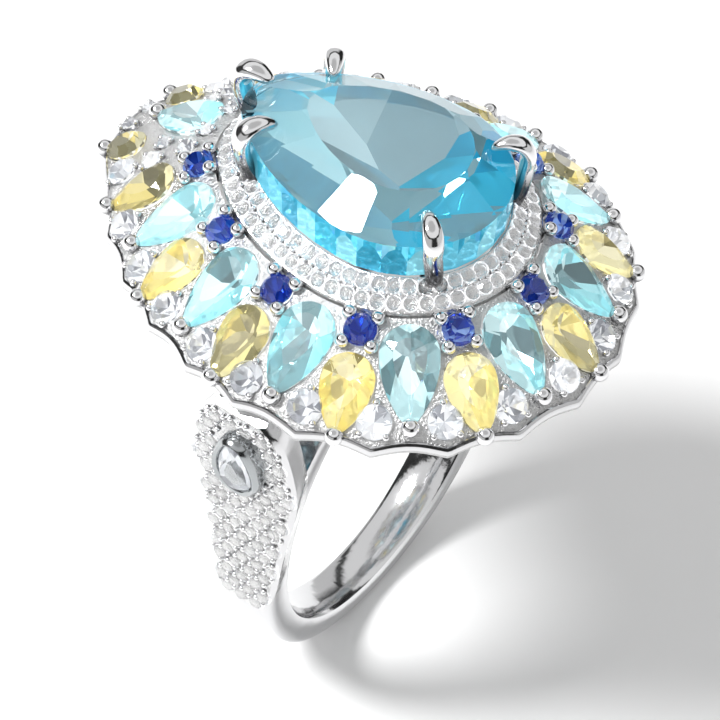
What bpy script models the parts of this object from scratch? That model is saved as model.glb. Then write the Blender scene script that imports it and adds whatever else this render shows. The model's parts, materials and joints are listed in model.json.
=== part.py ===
"""Cocktail ring: a pear-cut centre stone in a five-claw basket and a halo, over a domed sunburst of pear
and round stones, carried on a cathedral shank. The origin is the centre of the finger hole, +Z points up
to the centre stone, and the finger lies along Y."""

import math

import bmesh
import bpy
from mathutils import Matrix, Vector

MM = 0.001

# Finger hole and band
BORE_DIAMETER = 18.4 * MM
BAND_BASE_THICKNESS = 1.5 * MM
BAND_SIDE_THICKNESS = 1.9 * MM
BAND_ARCH_THICKNESS = 1.2 * MM
BAND_BASE_WIDTH = 2.6 * MM
BAND_SIDE_WIDTH = 3.1 * MM
BAND_FLANK_TAPER = 0.15 * MM

# Cathedral shoulders: each row is a height, how far the face stands out from the band, and its width
SHOULDER_ROWS = (
    (-1.3 * MM, 0.12 * MM, 1.0 * MM),
    (-0.5 * MM, 0.16 * MM, 3.0 * MM),
    (0.9 * MM, 0.18 * MM, 3.9 * MM),
    (4.2 * MM, 0.16 * MM, 4.7 * MM),
    (8.2 * MM, 0.22 * MM, 6.0 * MM),
    (10.4 * MM, 0.46 * MM, 6.1 * MM),
    (13.1 * MM, 0.755 * MM, 5.0 * MM),
)
SHOULDER_TOP_WIDTH = 3.0 * MM
SHOULDER_TOP_FLARE = 0.95 * MM
SHOULDER_THICKNESS = 1.7 * MM
SHOULDER_FLANK_TAPER = 0.5 * MM

# Centre stone. Every other piece of the head is offset from its setting's outline, which the stone's tip
# overhangs
GIRDLE_HEIGHT = 21.9 * MM
HEAD_FORWARD = 1.0 * MM
CENTRE_LENGTH = 14.0 * MM
CENTRE_WIDTH = 10.6 * MM
CENTRE_TIP_RADIUS = 2.7 * MM
TIP_OVERHANG = 0.5 * MM
CENTRE_CROWN = 1.6 * MM
CENTRE_PAVILION = 4.5 * MM
CENTRE_TABLE = 0.58
GIRDLE_THICKNESS = 0.2 * MM

# Claw basket
CLAW_RADIUS = 0.45 * MM
CLAW_TIP_SHARE = 0.55
CLAW_BULGE = 0.12 * MM
CLAW_SHARES = (1.0, 0.78, -0.78, 0.2, -0.2)
CLAW_NAMES = ("tip", "upper_right", "upper_left", "lower_right", "lower_left")
STONE_GAP = 0.08 * MM
SEAT_RAIL_INSET = 1.14 * MM
SEAT_RAIL_WIDTH = 0.47 * MM
SEAT_RAIL_DROP = 1.55 * MM
LOWER_RAIL_INSET = 1.78 * MM
LOWER_RAIL_WIDTH = 0.6 * MM
LOWER_RAIL_DROP = 3.6 * MM
RAIL_DEPTH = 0.7 * MM

# Halo
HALO_WIDTH = 1.6 * MM
HALO_DROP = 1.85 * MM
HALO_FALL = 0.95 * MM
HALO_THICKNESS = 0.9 * MM
PIECE_GAP = 0.12 * MM

# Domed plate that carries the sunburst
DOME_REACH = 5.0 * MM
DOME_THICKNESS = 1.0 * MM
DOME_SLOPE = 0.62
DOME_CURVE = 25.0
DOME_BELOW_GIRDLES = 0.12 * MM
DOME_SPREAD = 0.20
DOME_TIP_SPREAD = 0.24
DOME_TIP_POWER = 20
DOME_RINGS = 5

# Sunburst stones, placed by how far their inner ends lie from the dome's inner edge
PITCH_SHARE = 0.1737
REPEATS = 10
AQUA_LENGTH = 4.85 * MM
AQUA_WIDTH = 2.9 * MM
AQUA_INNER = 0.3 * MM
TIP_AQUA_LENGTH = 4.3 * MM
TIP_AQUA_INNER = 0.62 * MM
YELLOW_LENGTH = 4.0 * MM
YELLOW_WIDTH = 2.6 * MM
YELLOW_INNER = 1.65 * MM
TIP_YELLOW_LENGTH = 2.5 * MM
TIP_YELLOW_WIDTH = 2.0 * MM
TIP_YELLOW_INNER = 3.35 * MM
TIP_YELLOW_SHARE = 0.952
BLUE_DIAMETER = 1.6 * MM
BLUE_CENTRE = 0.86 * MM
PEAR_TIP_RADIUS = 0.25 * MM
SMALL_CROWN = 0.3 * MM
SMALL_PAVILION = 1.05 * MM
SMALL_GIRDLE = 0.1 * MM
SMALL_TABLE = 0.55
SEAT_CLEARANCE = 0.08 * MM
SEAT_FOOT_SCALE = 0.3

# Gallery arms under the head
ARM_RADIUS = 0.45 * MM
ARM_TOP_SHARE = 0.8
ARM_SHARES = (0.25, -0.25, 0.62, -0.62)
ARM_FOOT_SPREAD = 0.62 * MM
ARM_FOOT_ANGLE = math.radians(17.0)

# Shoulder bezels
BEZEL_HEIGHT = 10.75 * MM
BEZEL_LENGTH = 4.1 * MM
BEZEL_WIDTH = 2.8 * MM
BEZEL_TIP_RADIUS = 0.95 * MM
BEZEL_WALL = 0.38 * MM
BEZEL_RISE = 1.05 * MM
BEZEL_FLOOR = 0.4 * MM
BEZEL_STONE_CROWN = 0.35 * MM
BEZEL_STONE_PAVILION = 0.42 * MM

BAND_STEPS = 72
HEAD_STEPS = 80
SMALL_STEPS = 16
BORE_RADIUS = BORE_DIAMETER / 2
HALO_OUT = HALO_WIDTH + PIECE_GAP


def clear_scene():
    for obj in list(bpy.data.objects):
        bpy.data.objects.remove(obj, do_unlink=True)


def new_collection(name):
    collection = bpy.data.collections.new(name)
    bpy.context.scene.collection.children.link(collection)
    return collection


def principled(name, colour, roughness, metallic, transmission=0.0):
    material = bpy.data.materials.new(name)
    material.use_nodes = True
    shader = material.node_tree.nodes["Principled BSDF"]
    shader.inputs["Base Color"].default_value = (*colour, 1.0)
    shader.inputs["Roughness"].default_value = roughness
    shader.inputs["Metallic"].default_value = metallic
    shader.inputs["Transmission Weight"].default_value = transmission
    return material


def white_metal(name):
    return principled(name, (0.86, 0.87, 0.89), 0.08, 1.0)


def gemstone(name, colour):
    return principled(name, colour, 0.02, 0.0, 0.8)


def mesh_object(name, verts, faces, material, collection):
    """A closed mesh whose faces are turned outward."""
    mesh = bpy.data.meshes.new(name)
    mesh.from_pydata(verts, [], faces)
    bm = bmesh.new()
    bm.from_mesh(mesh)
    bmesh.ops.recalc_face_normals(bm, faces=bm.faces)
    bm.to_mesh(mesh)
    bm.free()
    obj = bpy.data.objects.new(name, mesh)
    collection.objects.link(obj)
    if material:
        mesh.materials.append(material)
    return obj


def loft(name, rings, material, collection, looped=False):
    """Joins rings of equally many points: closed on itself when looped, else capped at both ends.
    An end ring may be a single point."""
    verts = [point for ring in rings for point in ring]
    starts = [sum(len(r) for r in rings[:i]) for i in range(len(rings))]
    pairs = list(zip(range(len(rings)), range(1, len(rings))))
    if looped:
        pairs.append((len(rings) - 1, 0))
    faces = []
    for low, high in pairs:
        count = max(len(rings[low]), len(rings[high]))
        for i in range(count):
            j = (i + 1) % count
            corners = [starts[low] + i % len(rings[low]), starts[low] + j % len(rings[low])]
            corners += [starts[high] + j % len(rings[high]), starts[high] + i % len(rings[high])]
            faces.append(tuple(dict.fromkeys(corners)))
    if not looped:
        for end in (0, len(rings) - 1):
            if len(rings[end]) > 1:
                faces.append(tuple(range(starts[end], starts[end] + len(rings[end]))))
    return mesh_object(name, verts, faces, material, collection)


def mirrored(obj, name, collection):
    """A copy on the other side of the YZ plane."""
    mesh = obj.data.copy()
    mesh.transform(Matrix.Scale(-1.0, 4, Vector((1.0, 0.0, 0.0))))
    mesh.flip_normals()
    copy = bpy.data.objects.new(name, mesh)
    collection.objects.link(copy)
    return copy


def boolean(obj, name, operation, other=None, group=None):
    modifier = obj.modifiers.new(name, "BOOLEAN")
    modifier.operation = operation
    modifier.solver = "EXACT"
    if group:
        modifier.operand_type = "COLLECTION"
        modifier.collection = group
    else:
        modifier.object = other


def as_cutter(obj):
    obj.hide_render = True
    obj.display_type = "WIRE"


class Pear:
    """A pear outline of arcs: a round end of half the width, two long sides, and a small round tip at +Y.
    A share runs from 0 at the middle of the round end to 1 or -1 at the tip, along the outline at `base`."""

    def __init__(self, length, width, tip_radius, base=0.0):
        self.base = base
        self.round_radius = width / 2
        self.tip_radius = tip_radius
        self.round_centre = -length / 2 + self.round_radius
        self.tip_centre = length / 2 - tip_radius
        rise = self.tip_centre - self.round_centre
        narrowing = self.round_radius - tip_radius
        self.side_radius = (rise**2 + self.round_radius**2 - tip_radius**2) / (2 * narrowing)
        self.side_angle = math.atan2(rise, self.side_radius - self.round_radius)
        self.round_run = (self.round_radius + base) * math.pi / 2
        self.side_run = (self.side_radius + base) * self.side_angle
        self.tip_run = (tip_radius + base) * (math.pi / 2 - self.side_angle)

    def point(self, share, offset=0.0):
        """The plan point at an offset from the outline, and the outward normal there."""
        run = abs(share) * (self.round_run + self.side_run + self.tip_run)
        side = -1.0 if share < 0 else 1.0
        if run <= self.round_run:
            angle = -math.pi / 2 + run / (self.round_radius + self.base)
            centre, radius = Vector((0.0, self.round_centre)), self.round_radius
        elif run <= self.round_run + self.side_run:
            angle = (run - self.round_run) / (self.side_radius + self.base)
            radius = self.side_radius
            centre = Vector((self.round_radius - radius, self.round_centre))
        else:
            angle = self.side_angle + (run - self.round_run - self.side_run) / (self.tip_radius + self.base)
            centre, radius = Vector((0.0, self.tip_centre)), self.tip_radius
        normal = Vector((math.cos(angle), math.sin(angle)))
        place = centre + normal * (radius + offset)
        return Vector((side * place.x, place.y)), Vector((side * normal.x, normal.y))

    def outline(self, steps, offset=0.0):
        return [self.point(-1.0 + 2.0 * i / steps, offset)[0] for i in range(steps)]


HEAD = Pear(CENTRE_LENGTH, CENTRE_WIDTH, CENTRE_TIP_RADIUS, base=HALO_OUT + BLUE_CENTRE)
STONE = Pear(CENTRE_LENGTH + TIP_OVERHANG, CENTRE_WIDTH, CENTRE_TIP_RADIUS)
STONE_FORWARD = HEAD_FORWARD + TIP_OVERHANG / 2


def head_ring(offset, drop):
    """The centre stone's outline at an offset, this far below its girdle."""
    return [(p.x, p.y + HEAD_FORWARD, GIRDLE_HEIGHT - drop) for p in HEAD.outline(HEAD_STEPS, offset)]


def head_sweep(name, section, material, collection):
    """A ring round the head whose section is a list of offsets and drops."""
    return loft(name, [head_ring(*corner) for corner in section], material, collection, looped=True)


def dome_offset(share, out):
    """How far from the girdle outline a place `out` from the dome's inner edge lies: more towards the tip."""
    spread = DOME_SPREAD * share**2 + DOME_TIP_SPREAD * abs(share) ** DOME_TIP_POWER
    return HALO_OUT + out * (1.0 + spread)


def dome_drop(out):
    """How far below the centre stone's girdle the girdles of the sunburst stones lie."""
    return HALO_DROP + HALO_FALL + DOME_SLOPE * out + DOME_CURVE * out**2


def dome_point(share, out, below=0.0):
    plan, _ = HEAD.point(share, dome_offset(share, out))
    return Vector((plan.x, plan.y + HEAD_FORWARD, GIRDLE_HEIGHT - dome_drop(out) - below))


def dome_frame(share, inner, length):
    """Where a stone lies on the dome: its middle, with X across, Y from its inner end outward and Z up."""
    start = dome_point(share, inner)
    along = (dome_point(share, inner + length) - start).normalized()
    _, normal = HEAD.point(share)
    across = Vector((normal.y, -normal.x, 0.0))
    up = across.cross(along).normalized()
    middle = start + along * (length / 2)
    frame = Matrix((across, along, up)).transposed().to_4x4()
    frame.translation = middle
    return frame


def scaled(ring, scale, centre_y, height):
    return [(p.x * scale, centre_y + (p.y - centre_y) * scale, height) for p in ring]


def pear_stone(name, pear, crown, pavilion, girdle, table, steps, material, collection):
    """Table, crown, girdle and pavilion, drawn round the middle of the outline with its girdle at zero."""
    outline = pear.outline(steps)
    centre = pear.round_centre
    rings = [
        scaled(outline, table, centre, girdle / 2 + crown),
        scaled(outline, 1.0, centre, girdle / 2),
        scaled(outline, 1.0, centre, -girdle / 2),
        [(0.0, centre, -girdle / 2 - pavilion)],
    ]
    return loft(name, rings, material, collection)


def seat_cutter(name, pear, steps, collection):
    """The tapering hole that a stone drops into."""
    wide = pear.outline(steps, SEAT_CLEARANCE)
    rings = [
        scaled(wide, 1.0, pear.round_centre, SMALL_PAVILION),
        scaled(wide, 1.0, pear.round_centre, -SMALL_GIRDLE),
        scaled(wide, SEAT_FOOT_SCALE, pear.round_centre, -DOME_THICKNESS - SMALL_PAVILION / 2),
    ]
    cutter = loft(name, rings, None, collection)
    as_cutter(cutter)
    return cutter


def dome_stone(name, pear, frame, material, parts, cutters):
    """A stone on the dome and the seat it leaves in the plate. Both turn their round end inward."""
    stone = pear_stone(
        name, pear, SMALL_CROWN, SMALL_PAVILION, SMALL_GIRDLE, SMALL_TABLE, SMALL_STEPS, material, parts
    )
    cutter = seat_cutter(name + "_seat", pear, SMALL_STEPS, cutters)
    stone.matrix_world = frame
    cutter.matrix_world = frame


def make_centre_stone(parts):
    stone = pear_stone(
        "centre_stone",
        STONE,
        CENTRE_CROWN,
        CENTRE_PAVILION,
        GIRDLE_THICKNESS,
        CENTRE_TABLE,
        HEAD_STEPS // 2,
        gemstone("aqua_centre_stone", (0.30, 0.78, 0.90)),
        parts,
    )
    stone.location = (0.0, STONE_FORWARD, GIRDLE_HEIGHT)


def make_rails(parts):
    for name, inset, width, drop in (
        ("basket_seat_rail", SEAT_RAIL_INSET, SEAT_RAIL_WIDTH, SEAT_RAIL_DROP),
        ("basket_lower_rail", LOWER_RAIL_INSET, LOWER_RAIL_WIDTH, LOWER_RAIL_DROP),
    ):
        section = (
            (-inset, drop),
            (-inset, drop + RAIL_DEPTH),
            (-inset - width, drop + RAIL_DEPTH),
            (-inset - width, drop),
        )
        head_sweep(name, section, white_metal(name + "_metal"), parts)


def claw_foot():
    """Offsets from the setting's outline and heights of a claw's middle, up past both rails."""
    return [
        Vector((-LOWER_RAIL_INSET + CLAW_RADIUS + PIECE_GAP, -LOWER_RAIL_DROP - RAIL_DEPTH / 2)),
        Vector((-SEAT_RAIL_INSET + CLAW_RADIUS + PIECE_GAP / 2, -SEAT_RAIL_DROP - 1.5 * RAIL_DEPTH)),
        Vector((-SEAT_RAIL_INSET + CLAW_RADIUS + PIECE_GAP, -SEAT_RAIL_DROP - RAIL_DEPTH / 4)),
    ]


def claw_head():
    """Offsets from the stone's outline and heights of a claw's middle, past the girdle and over the crown."""
    outside = CLAW_RADIUS + STONE_GAP
    crown_run = (1.0 - CENTRE_TABLE) * CENTRE_WIDTH / 2
    crown_slope = math.atan2(CENTRE_CROWN, crown_run)
    lift = Vector((math.sin(crown_slope), math.cos(crown_slope)))
    on_crown = [
        Vector((-s, GIRDLE_THICKNESS / 2 + s * math.tan(crown_slope))) + lift * outside
        for s in (0.16 * crown_run, 0.62 * crown_run)
    ]
    return [
        Vector((outside * 0.2, -2.0 * CLAW_RADIUS)),
        Vector((outside + CLAW_BULGE, 0.0)),
        *on_crown,
    ]


def wire(name, points, radius, end_scale, material, collection):
    """A round tapered wire on a smooth curve through the points."""
    curve = bpy.data.curves.new(name, "CURVE")
    curve.dimensions = "3D"
    curve.bevel_depth = radius
    curve.bevel_resolution = 2
    curve.use_fill_caps = True
    curve.resolution_u = 3
    spline = curve.splines.new("BEZIER")
    spline.bezier_points.add(len(points) - 1)
    for i, (handle, place) in enumerate(zip(spline.bezier_points, points)):
        handle.co = place
        handle.handle_left_type = "AUTO"
        handle.handle_right_type = "AUTO"
        handle.radius = 1.0 if i < len(points) - 2 else (1.0 + end_scale) / 2
    spline.bezier_points[-1].radius = end_scale
    obj = bpy.data.objects.new(name, curve)
    collection.objects.link(obj)
    curve.materials.append(material)
    return obj


def make_claws(parts):
    halves = ((HEAD, HEAD_FORWARD, claw_foot()), (STONE, STONE_FORWARD, claw_head()))
    for name, share in zip(CLAW_NAMES, CLAW_SHARES):
        points = []
        for outline, forward, places in halves:
            for place in places:
                plan, _ = outline.point(share, place.x)
                points.append((plan.x, plan.y + forward, GIRDLE_HEIGHT + place.y))
        wire(f"claw_{name}", points, CLAW_RADIUS, CLAW_TIP_SHARE, white_metal(f"claw_{name}_metal"), parts)


def make_halo(parts):
    section = (
        (0.0, HALO_DROP),
        (HALO_WIDTH, HALO_DROP + HALO_FALL),
        (HALO_WIDTH, HALO_DROP + HALO_FALL + HALO_THICKNESS),
        (0.0, HALO_DROP + HALO_THICKNESS),
    )
    head_sweep("halo_ring", section, white_metal("halo_metal"), parts)


def dome_ring(out, below):
    return [dome_point(-1.0 + 2.0 * i / HEAD_STEPS, out, below) for i in range(HEAD_STEPS)]


def make_dome(parts, cutters):
    """The domed plate, with a tapering seat cut through it for every stone of the sunburst."""
    outs = [DOME_REACH * i / (DOME_RINGS - 1) for i in range(DOME_RINGS)]
    rings = [dome_ring(out, DOME_BELOW_GIRDLES) for out in outs]
    rings += [dome_ring(out, DOME_BELOW_GIRDLES + DOME_THICKNESS) for out in reversed(outs)]
    dome = loft("dome_plate", rings, white_metal("dome_metal"), parts, looped=True)
    boolean(dome, "seats", "DIFFERENCE", group=cutters)


def make_sunburst(parts, cutters):
    aqua = Pear(AQUA_LENGTH, AQUA_WIDTH, PEAR_TIP_RADIUS)
    yellow = Pear(YELLOW_LENGTH, YELLOW_WIDTH, PEAR_TIP_RADIUS)
    aqua_glass = gemstone("aqua_pear_stone", (0.52, 0.86, 0.90))
    yellow_glass = gemstone("yellow_pear_stone", (0.93, 0.86, 0.45))
    blue_glass = gemstone("blue_round_stone", (0.03, 0.10, 0.65))
    for i in range(REPEATS):
        share = (i - (REPEATS - 1) / 2) * PITCH_SHARE
        frame = dome_frame(share, AQUA_INNER, AQUA_LENGTH)
        dome_stone(f"aqua_pear_{i + 1:02d}", aqua, frame, aqua_glass, parts, cutters)
    tip_aqua = Pear(TIP_AQUA_LENGTH, AQUA_WIDTH, PEAR_TIP_RADIUS)
    frame = dome_frame(1.0, TIP_AQUA_INNER, TIP_AQUA_LENGTH)
    dome_stone(f"aqua_pear_{REPEATS + 1:02d}", tip_aqua, frame, aqua_glass, parts, cutters)
    for i in range(REPEATS + 1):
        share = (i - REPEATS / 2) * PITCH_SHARE
        frame = dome_frame(share, YELLOW_INNER, YELLOW_LENGTH)
        dome_stone(f"yellow_pear_{i + 1:02d}", yellow, frame, yellow_glass, parts, cutters)
        make_blue(f"blue_round_{i + 1:02d}", share, blue_glass, parts, cutters)
    tip_yellow = Pear(TIP_YELLOW_LENGTH, TIP_YELLOW_WIDTH, PEAR_TIP_RADIUS)
    for name, share in (("left", -TIP_YELLOW_SHARE), ("right", TIP_YELLOW_SHARE)):
        frame = dome_frame(share, TIP_YELLOW_INNER, TIP_YELLOW_LENGTH)
        dome_stone(f"tip_yellow_{name}", tip_yellow, frame, yellow_glass, parts, cutters)


def circle(radius, steps, height):
    turns = [2 * math.pi * i / steps for i in range(steps)]
    return [(radius * math.cos(turn), radius * math.sin(turn), height) for turn in turns]


def make_blue(name, share, material, parts, cutters):
    radius = BLUE_DIAMETER / 2
    steps = SMALL_STEPS - 4
    depth = SMALL_PAVILION * BLUE_DIAMETER / AQUA_WIDTH * 1.2
    rings = [
        circle(radius * SMALL_TABLE, steps, SMALL_CROWN),
        circle(radius, steps, SMALL_GIRDLE / 2),
        circle(radius, steps, -SMALL_GIRDLE / 2),
        [(0.0, 0.0, -depth)],
    ]
    stone = loft(name, rings, material, parts)
    hole = radius + SEAT_CLEARANCE
    rings = [
        circle(hole, steps, SMALL_PAVILION),
        circle(hole, steps, -SMALL_GIRDLE),
        circle(hole * SEAT_FOOT_SCALE, steps, -DOME_THICKNESS - SMALL_PAVILION / 2),
    ]
    cutter = loft(name + "_seat", rings, None, cutters)
    as_cutter(cutter)
    frame = dome_frame(share, BLUE_CENTRE - radius, BLUE_DIAMETER)
    stone.matrix_world = frame
    cutter.matrix_world = frame


def band_section(turn):
    """Four corners of the band where its radius makes this angle with +X."""
    side = math.cos(turn) ** 2
    flat = BAND_BASE_THICKNESS if math.sin(turn) < 0 else BAND_ARCH_THICKNESS
    thickness = flat + (BAND_SIDE_THICKNESS - flat) * side
    half = (BAND_BASE_WIDTH + (BAND_SIDE_WIDTH - BAND_BASE_WIDTH) * side) / 2
    outer = BORE_RADIUS + thickness
    corners = (
        (BORE_RADIUS, -half + BAND_FLANK_TAPER),
        (outer, -half),
        (outer, half),
        (BORE_RADIUS, half - BAND_FLANK_TAPER),
    )
    return [(r * math.cos(turn), y, r * math.sin(turn)) for r, y in corners]


def shoulder_section(height, face, width, rise=0.0):
    """Four corners of a shoulder: a face towards +X and a narrower back, which may sit higher."""
    half = width / 2
    back = half - SHOULDER_FLANK_TAPER if half > 2 * SHOULDER_FLANK_TAPER else half / 2
    return [
        (face, -half, height),
        (face, half, height),
        (face - SHOULDER_THICKNESS, back, height + rise),
        (face - SHOULDER_THICKNESS, -back, height + rise),
    ]


def shoulder_face():
    """How far out the shoulders' faces stand where they start."""
    return BORE_RADIUS + BAND_SIDE_THICKNESS


def make_shank(parts, cutters):
    """The band and both shoulders as one casting. The shoulders' tops follow the dome's underside."""
    turns = [2 * math.pi * (i + 0.5) / BAND_STEPS for i in range(BAND_STEPS)]
    metal = white_metal("shank_metal")
    shank = loft("shank", [band_section(turn) for turn in turns], metal, parts, looped=True)
    rings = [shoulder_section(h, shoulder_face() + out, width) for h, out, width in SHOULDER_ROWS]
    face = shoulder_face() + SHOULDER_TOP_FLARE
    below = DOME_BELOW_GIRDLES + DOME_THICKNESS + PIECE_GAP + 0.1 * MM
    outs = [x - CENTRE_WIDTH / 2 - HALO_OUT for x in (face, face - SHOULDER_THICKNESS)]
    top, back_top = [GIRDLE_HEIGHT - dome_drop(out) - below for out in outs]
    rings.append(shoulder_section(top, face, SHOULDER_TOP_WIDTH, back_top - top))
    right = loft("shoulder_right_solid", rings, None, cutters)
    left = mirrored(right, "shoulder_left_solid", cutters)
    for side in (right, left):
        as_cutter(side)
        boolean(shank, side.name, "UNION", other=side)


def make_arms(parts):
    """Four wires from the crown of the finger arch to the basket's lower rail."""
    foot_radius = BORE_RADIUS + BAND_ARCH_THICKNESS + ARM_RADIUS + PIECE_GAP
    for i, share in enumerate(ARM_SHARES):
        rail, normal = HEAD.point(share, -LOWER_RAIL_INSET - LOWER_RAIL_WIDTH / 2)
        side = 1.0 if share > 0 else -1.0
        forward = 1.0 if rail.y > 0 else -1.0
        foot_x = side * foot_radius * math.sin(ARM_FOOT_ANGLE)
        foot_z = foot_radius * math.cos(ARM_FOOT_ANGLE)
        top = GIRDLE_HEIGHT - LOWER_RAIL_DROP - RAIL_DEPTH - PIECE_GAP
        head = Vector((rail.x, rail.y + HEAD_FORWARD, top))
        foot = Vector((foot_x, forward * ARM_FOOT_SPREAD, foot_z))
        knee = Vector((rail.x * 0.92 + normal.x * MM, head.y * 0.72, foot_z + (top - foot_z) * 0.52))
        name = f"gallery_arm_{i + 1}"
        wire(name, [foot, knee, head], ARM_RADIUS, ARM_TOP_SHARE, white_metal(name + "_metal"), parts)


def bezel_frame():
    """On the flat stretch of the right shoulder's face: X across, Y up the shoulder and Z outward."""
    low, high = SHOULDER_ROWS[4], SHOULDER_ROWS[6]
    share = (BEZEL_HEIGHT - low[0]) / (high[0] - low[0])
    face = shoulder_face() + low[1] + (high[1] - low[1]) * share
    up = Vector((high[1] - low[1], 0.0, high[0] - low[0])).normalized()
    across = Vector((0.0, 1.0, 0.0))
    outward = across.cross(up)
    frame = Matrix((across, up, outward)).transposed().to_4x4()
    frame.translation = Vector((face, 0.0, BEZEL_HEIGHT)) + outward * PIECE_GAP / 2
    return frame


def make_bezels(parts, cutters):
    """A cup with a pear stone in it on each shoulder."""
    frame = bezel_frame()
    pear = Pear(BEZEL_LENGTH, BEZEL_WIDTH, BEZEL_TIP_RADIUS)
    stone_pear = Pear(
        BEZEL_LENGTH - 2 * (BEZEL_WALL + STONE_GAP),
        BEZEL_WIDTH - 2 * (BEZEL_WALL + STONE_GAP),
        BEZEL_TIP_RADIUS - BEZEL_WALL - STONE_GAP,
    )
    steps = SMALL_STEPS * 2
    rows = (
        (0.0, 0.0),
        (0.0, BEZEL_RISE * 0.75),
        (-BEZEL_WALL * 0.4, BEZEL_RISE),
        (-BEZEL_WALL, BEZEL_RISE),
        (-BEZEL_WALL, BEZEL_FLOOR),
    )
    rings = [[(p.x, p.y, height) for p in pear.outline(steps, offset)] for offset, height in rows]
    cup = loft("bezel_right", rings, white_metal("bezel_metal"), parts)
    cup.data.transform(frame)
    stone = pear_stone(
        "bezel_stone_right",
        stone_pear,
        BEZEL_STONE_CROWN,
        BEZEL_STONE_PAVILION,
        SMALL_GIRDLE,
        SMALL_TABLE,
        steps,
        gemstone("clear_bezel_stone", (0.92, 0.94, 0.95)),
        parts,
    )
    seat = BEZEL_FLOOR + BEZEL_STONE_PAVILION + SMALL_GIRDLE / 2 + STONE_GAP
    stone.data.transform(frame @ Matrix.Translation((0.0, 0.0, seat)))
    mirrored(cup, "bezel_left", parts)
    mirrored(stone, "bezel_stone_left", parts)


def main():
    clear_scene()
    parts = new_collection("cocktail_ring")
    cutters = new_collection("cutters")
    seats = new_collection("stone_seats")
    make_shank(parts, cutters)
    make_arms(parts)
    make_rails(parts)
    make_claws(parts)
    make_centre_stone(parts)
    make_halo(parts)
    make_sunburst(parts, seats)
    make_dome(parts, seats)
    make_bezels(parts, cutters)
    for obj in parts.objects:
        if obj.type == "MESH":
            obj.data.shade_smooth()
            obj.data.set_sharp_from_angle(angle=math.radians(30.0))


main()
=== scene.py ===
"""The finished cocktail ring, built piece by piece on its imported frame."""

import json
import math
import random

import bmesh
import bpy
from mathutils import Matrix, Vector

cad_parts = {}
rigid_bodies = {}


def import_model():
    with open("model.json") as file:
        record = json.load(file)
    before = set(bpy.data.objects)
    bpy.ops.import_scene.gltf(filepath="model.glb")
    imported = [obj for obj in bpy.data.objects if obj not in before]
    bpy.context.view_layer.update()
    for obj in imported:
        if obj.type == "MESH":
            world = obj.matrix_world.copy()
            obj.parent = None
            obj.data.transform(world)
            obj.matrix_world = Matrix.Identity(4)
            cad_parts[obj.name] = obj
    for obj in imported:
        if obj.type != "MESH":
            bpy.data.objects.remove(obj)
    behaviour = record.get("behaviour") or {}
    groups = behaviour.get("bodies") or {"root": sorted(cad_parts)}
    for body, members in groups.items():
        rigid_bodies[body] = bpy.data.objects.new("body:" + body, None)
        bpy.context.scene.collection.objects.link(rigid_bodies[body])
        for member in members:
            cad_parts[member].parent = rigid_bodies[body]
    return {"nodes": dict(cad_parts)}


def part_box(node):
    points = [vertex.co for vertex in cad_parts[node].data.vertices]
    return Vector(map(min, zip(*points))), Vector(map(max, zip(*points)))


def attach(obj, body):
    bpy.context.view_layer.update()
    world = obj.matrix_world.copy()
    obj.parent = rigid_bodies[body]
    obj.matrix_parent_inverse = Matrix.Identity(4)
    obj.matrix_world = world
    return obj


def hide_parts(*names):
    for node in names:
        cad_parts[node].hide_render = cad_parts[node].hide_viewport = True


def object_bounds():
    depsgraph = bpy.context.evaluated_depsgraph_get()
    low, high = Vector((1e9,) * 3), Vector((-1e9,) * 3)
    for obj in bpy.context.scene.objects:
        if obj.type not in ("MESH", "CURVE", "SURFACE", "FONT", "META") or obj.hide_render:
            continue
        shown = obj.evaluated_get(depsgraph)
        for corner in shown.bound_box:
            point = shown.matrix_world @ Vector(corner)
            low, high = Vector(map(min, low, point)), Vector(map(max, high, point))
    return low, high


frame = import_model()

cad_box = [list(corner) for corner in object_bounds()]
MM = 0.001

# Camera. It looks down on the head from the left and in front, with a slight roll, through a long lens.
AIM = Vector((-6.25, -2.93, 15.26)) * MM
CAMERA_AZIMUTH = math.radians(-57.395)
CAMERA_ELEVATION = math.radians(48.007)
CAMERA_ROLL = math.radians(4.301)
CAMERA_DISTANCE = 126.34 * MM
CAMERA_LENS = 131.3
flat_right = Vector((math.cos(CAMERA_AZIMUTH), math.sin(CAMERA_AZIMUTH), 0.0))
back = Vector(
    (
        math.sin(CAMERA_AZIMUTH) * math.cos(CAMERA_ELEVATION),
        -math.cos(CAMERA_AZIMUTH) * math.cos(CAMERA_ELEVATION),
        math.sin(CAMERA_ELEVATION),
    )
)
flat_up = back.cross(flat_right)
right = flat_right * math.cos(CAMERA_ROLL) + flat_up * math.sin(CAMERA_ROLL)
up = back.cross(right)
camera = bpy.data.objects.new("camera", bpy.data.cameras.new("camera"))
bpy.context.scene.collection.objects.link(camera)
camera.matrix_world = Matrix((right, up, back)).transposed().to_4x4()
camera.location = AIM + back * CAMERA_DISTANCE
camera.data.lens = CAMERA_LENS
camera.data.clip_start = 1.0 * MM
bpy.context.scene.camera = camera

# Metal. Silver or white gold under bright rhodium: the polisher leaves faint lapping lines, and the
# setter leaves a fine grain between the stones.


def material_with_shader(name):
    """A new material, its tree and its Principled shader."""
    material = bpy.data.materials.new(name)
    material.use_nodes = True
    tree = material.node_tree
    return material, tree, tree.nodes["Principled BSDF"]


def add_node(tree, kind, inputs=(), **settings):
    """A node with its settings, and its inputs given as values or as sockets to link."""
    node = tree.nodes.new(kind)
    for key, value in settings.items():
        setattr(node, key, value)
    for key, value in inputs:
        if isinstance(value, bpy.types.NodeSocket):
            tree.links.new(value, node.inputs[key])
        else:
            node.inputs[key].default_value = value
    return node


# Near black, the colour of the painted shade on beads and claws.
PAINTED_SHADE_COLOUR = (0.03, 0.03, 0.035)


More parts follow.
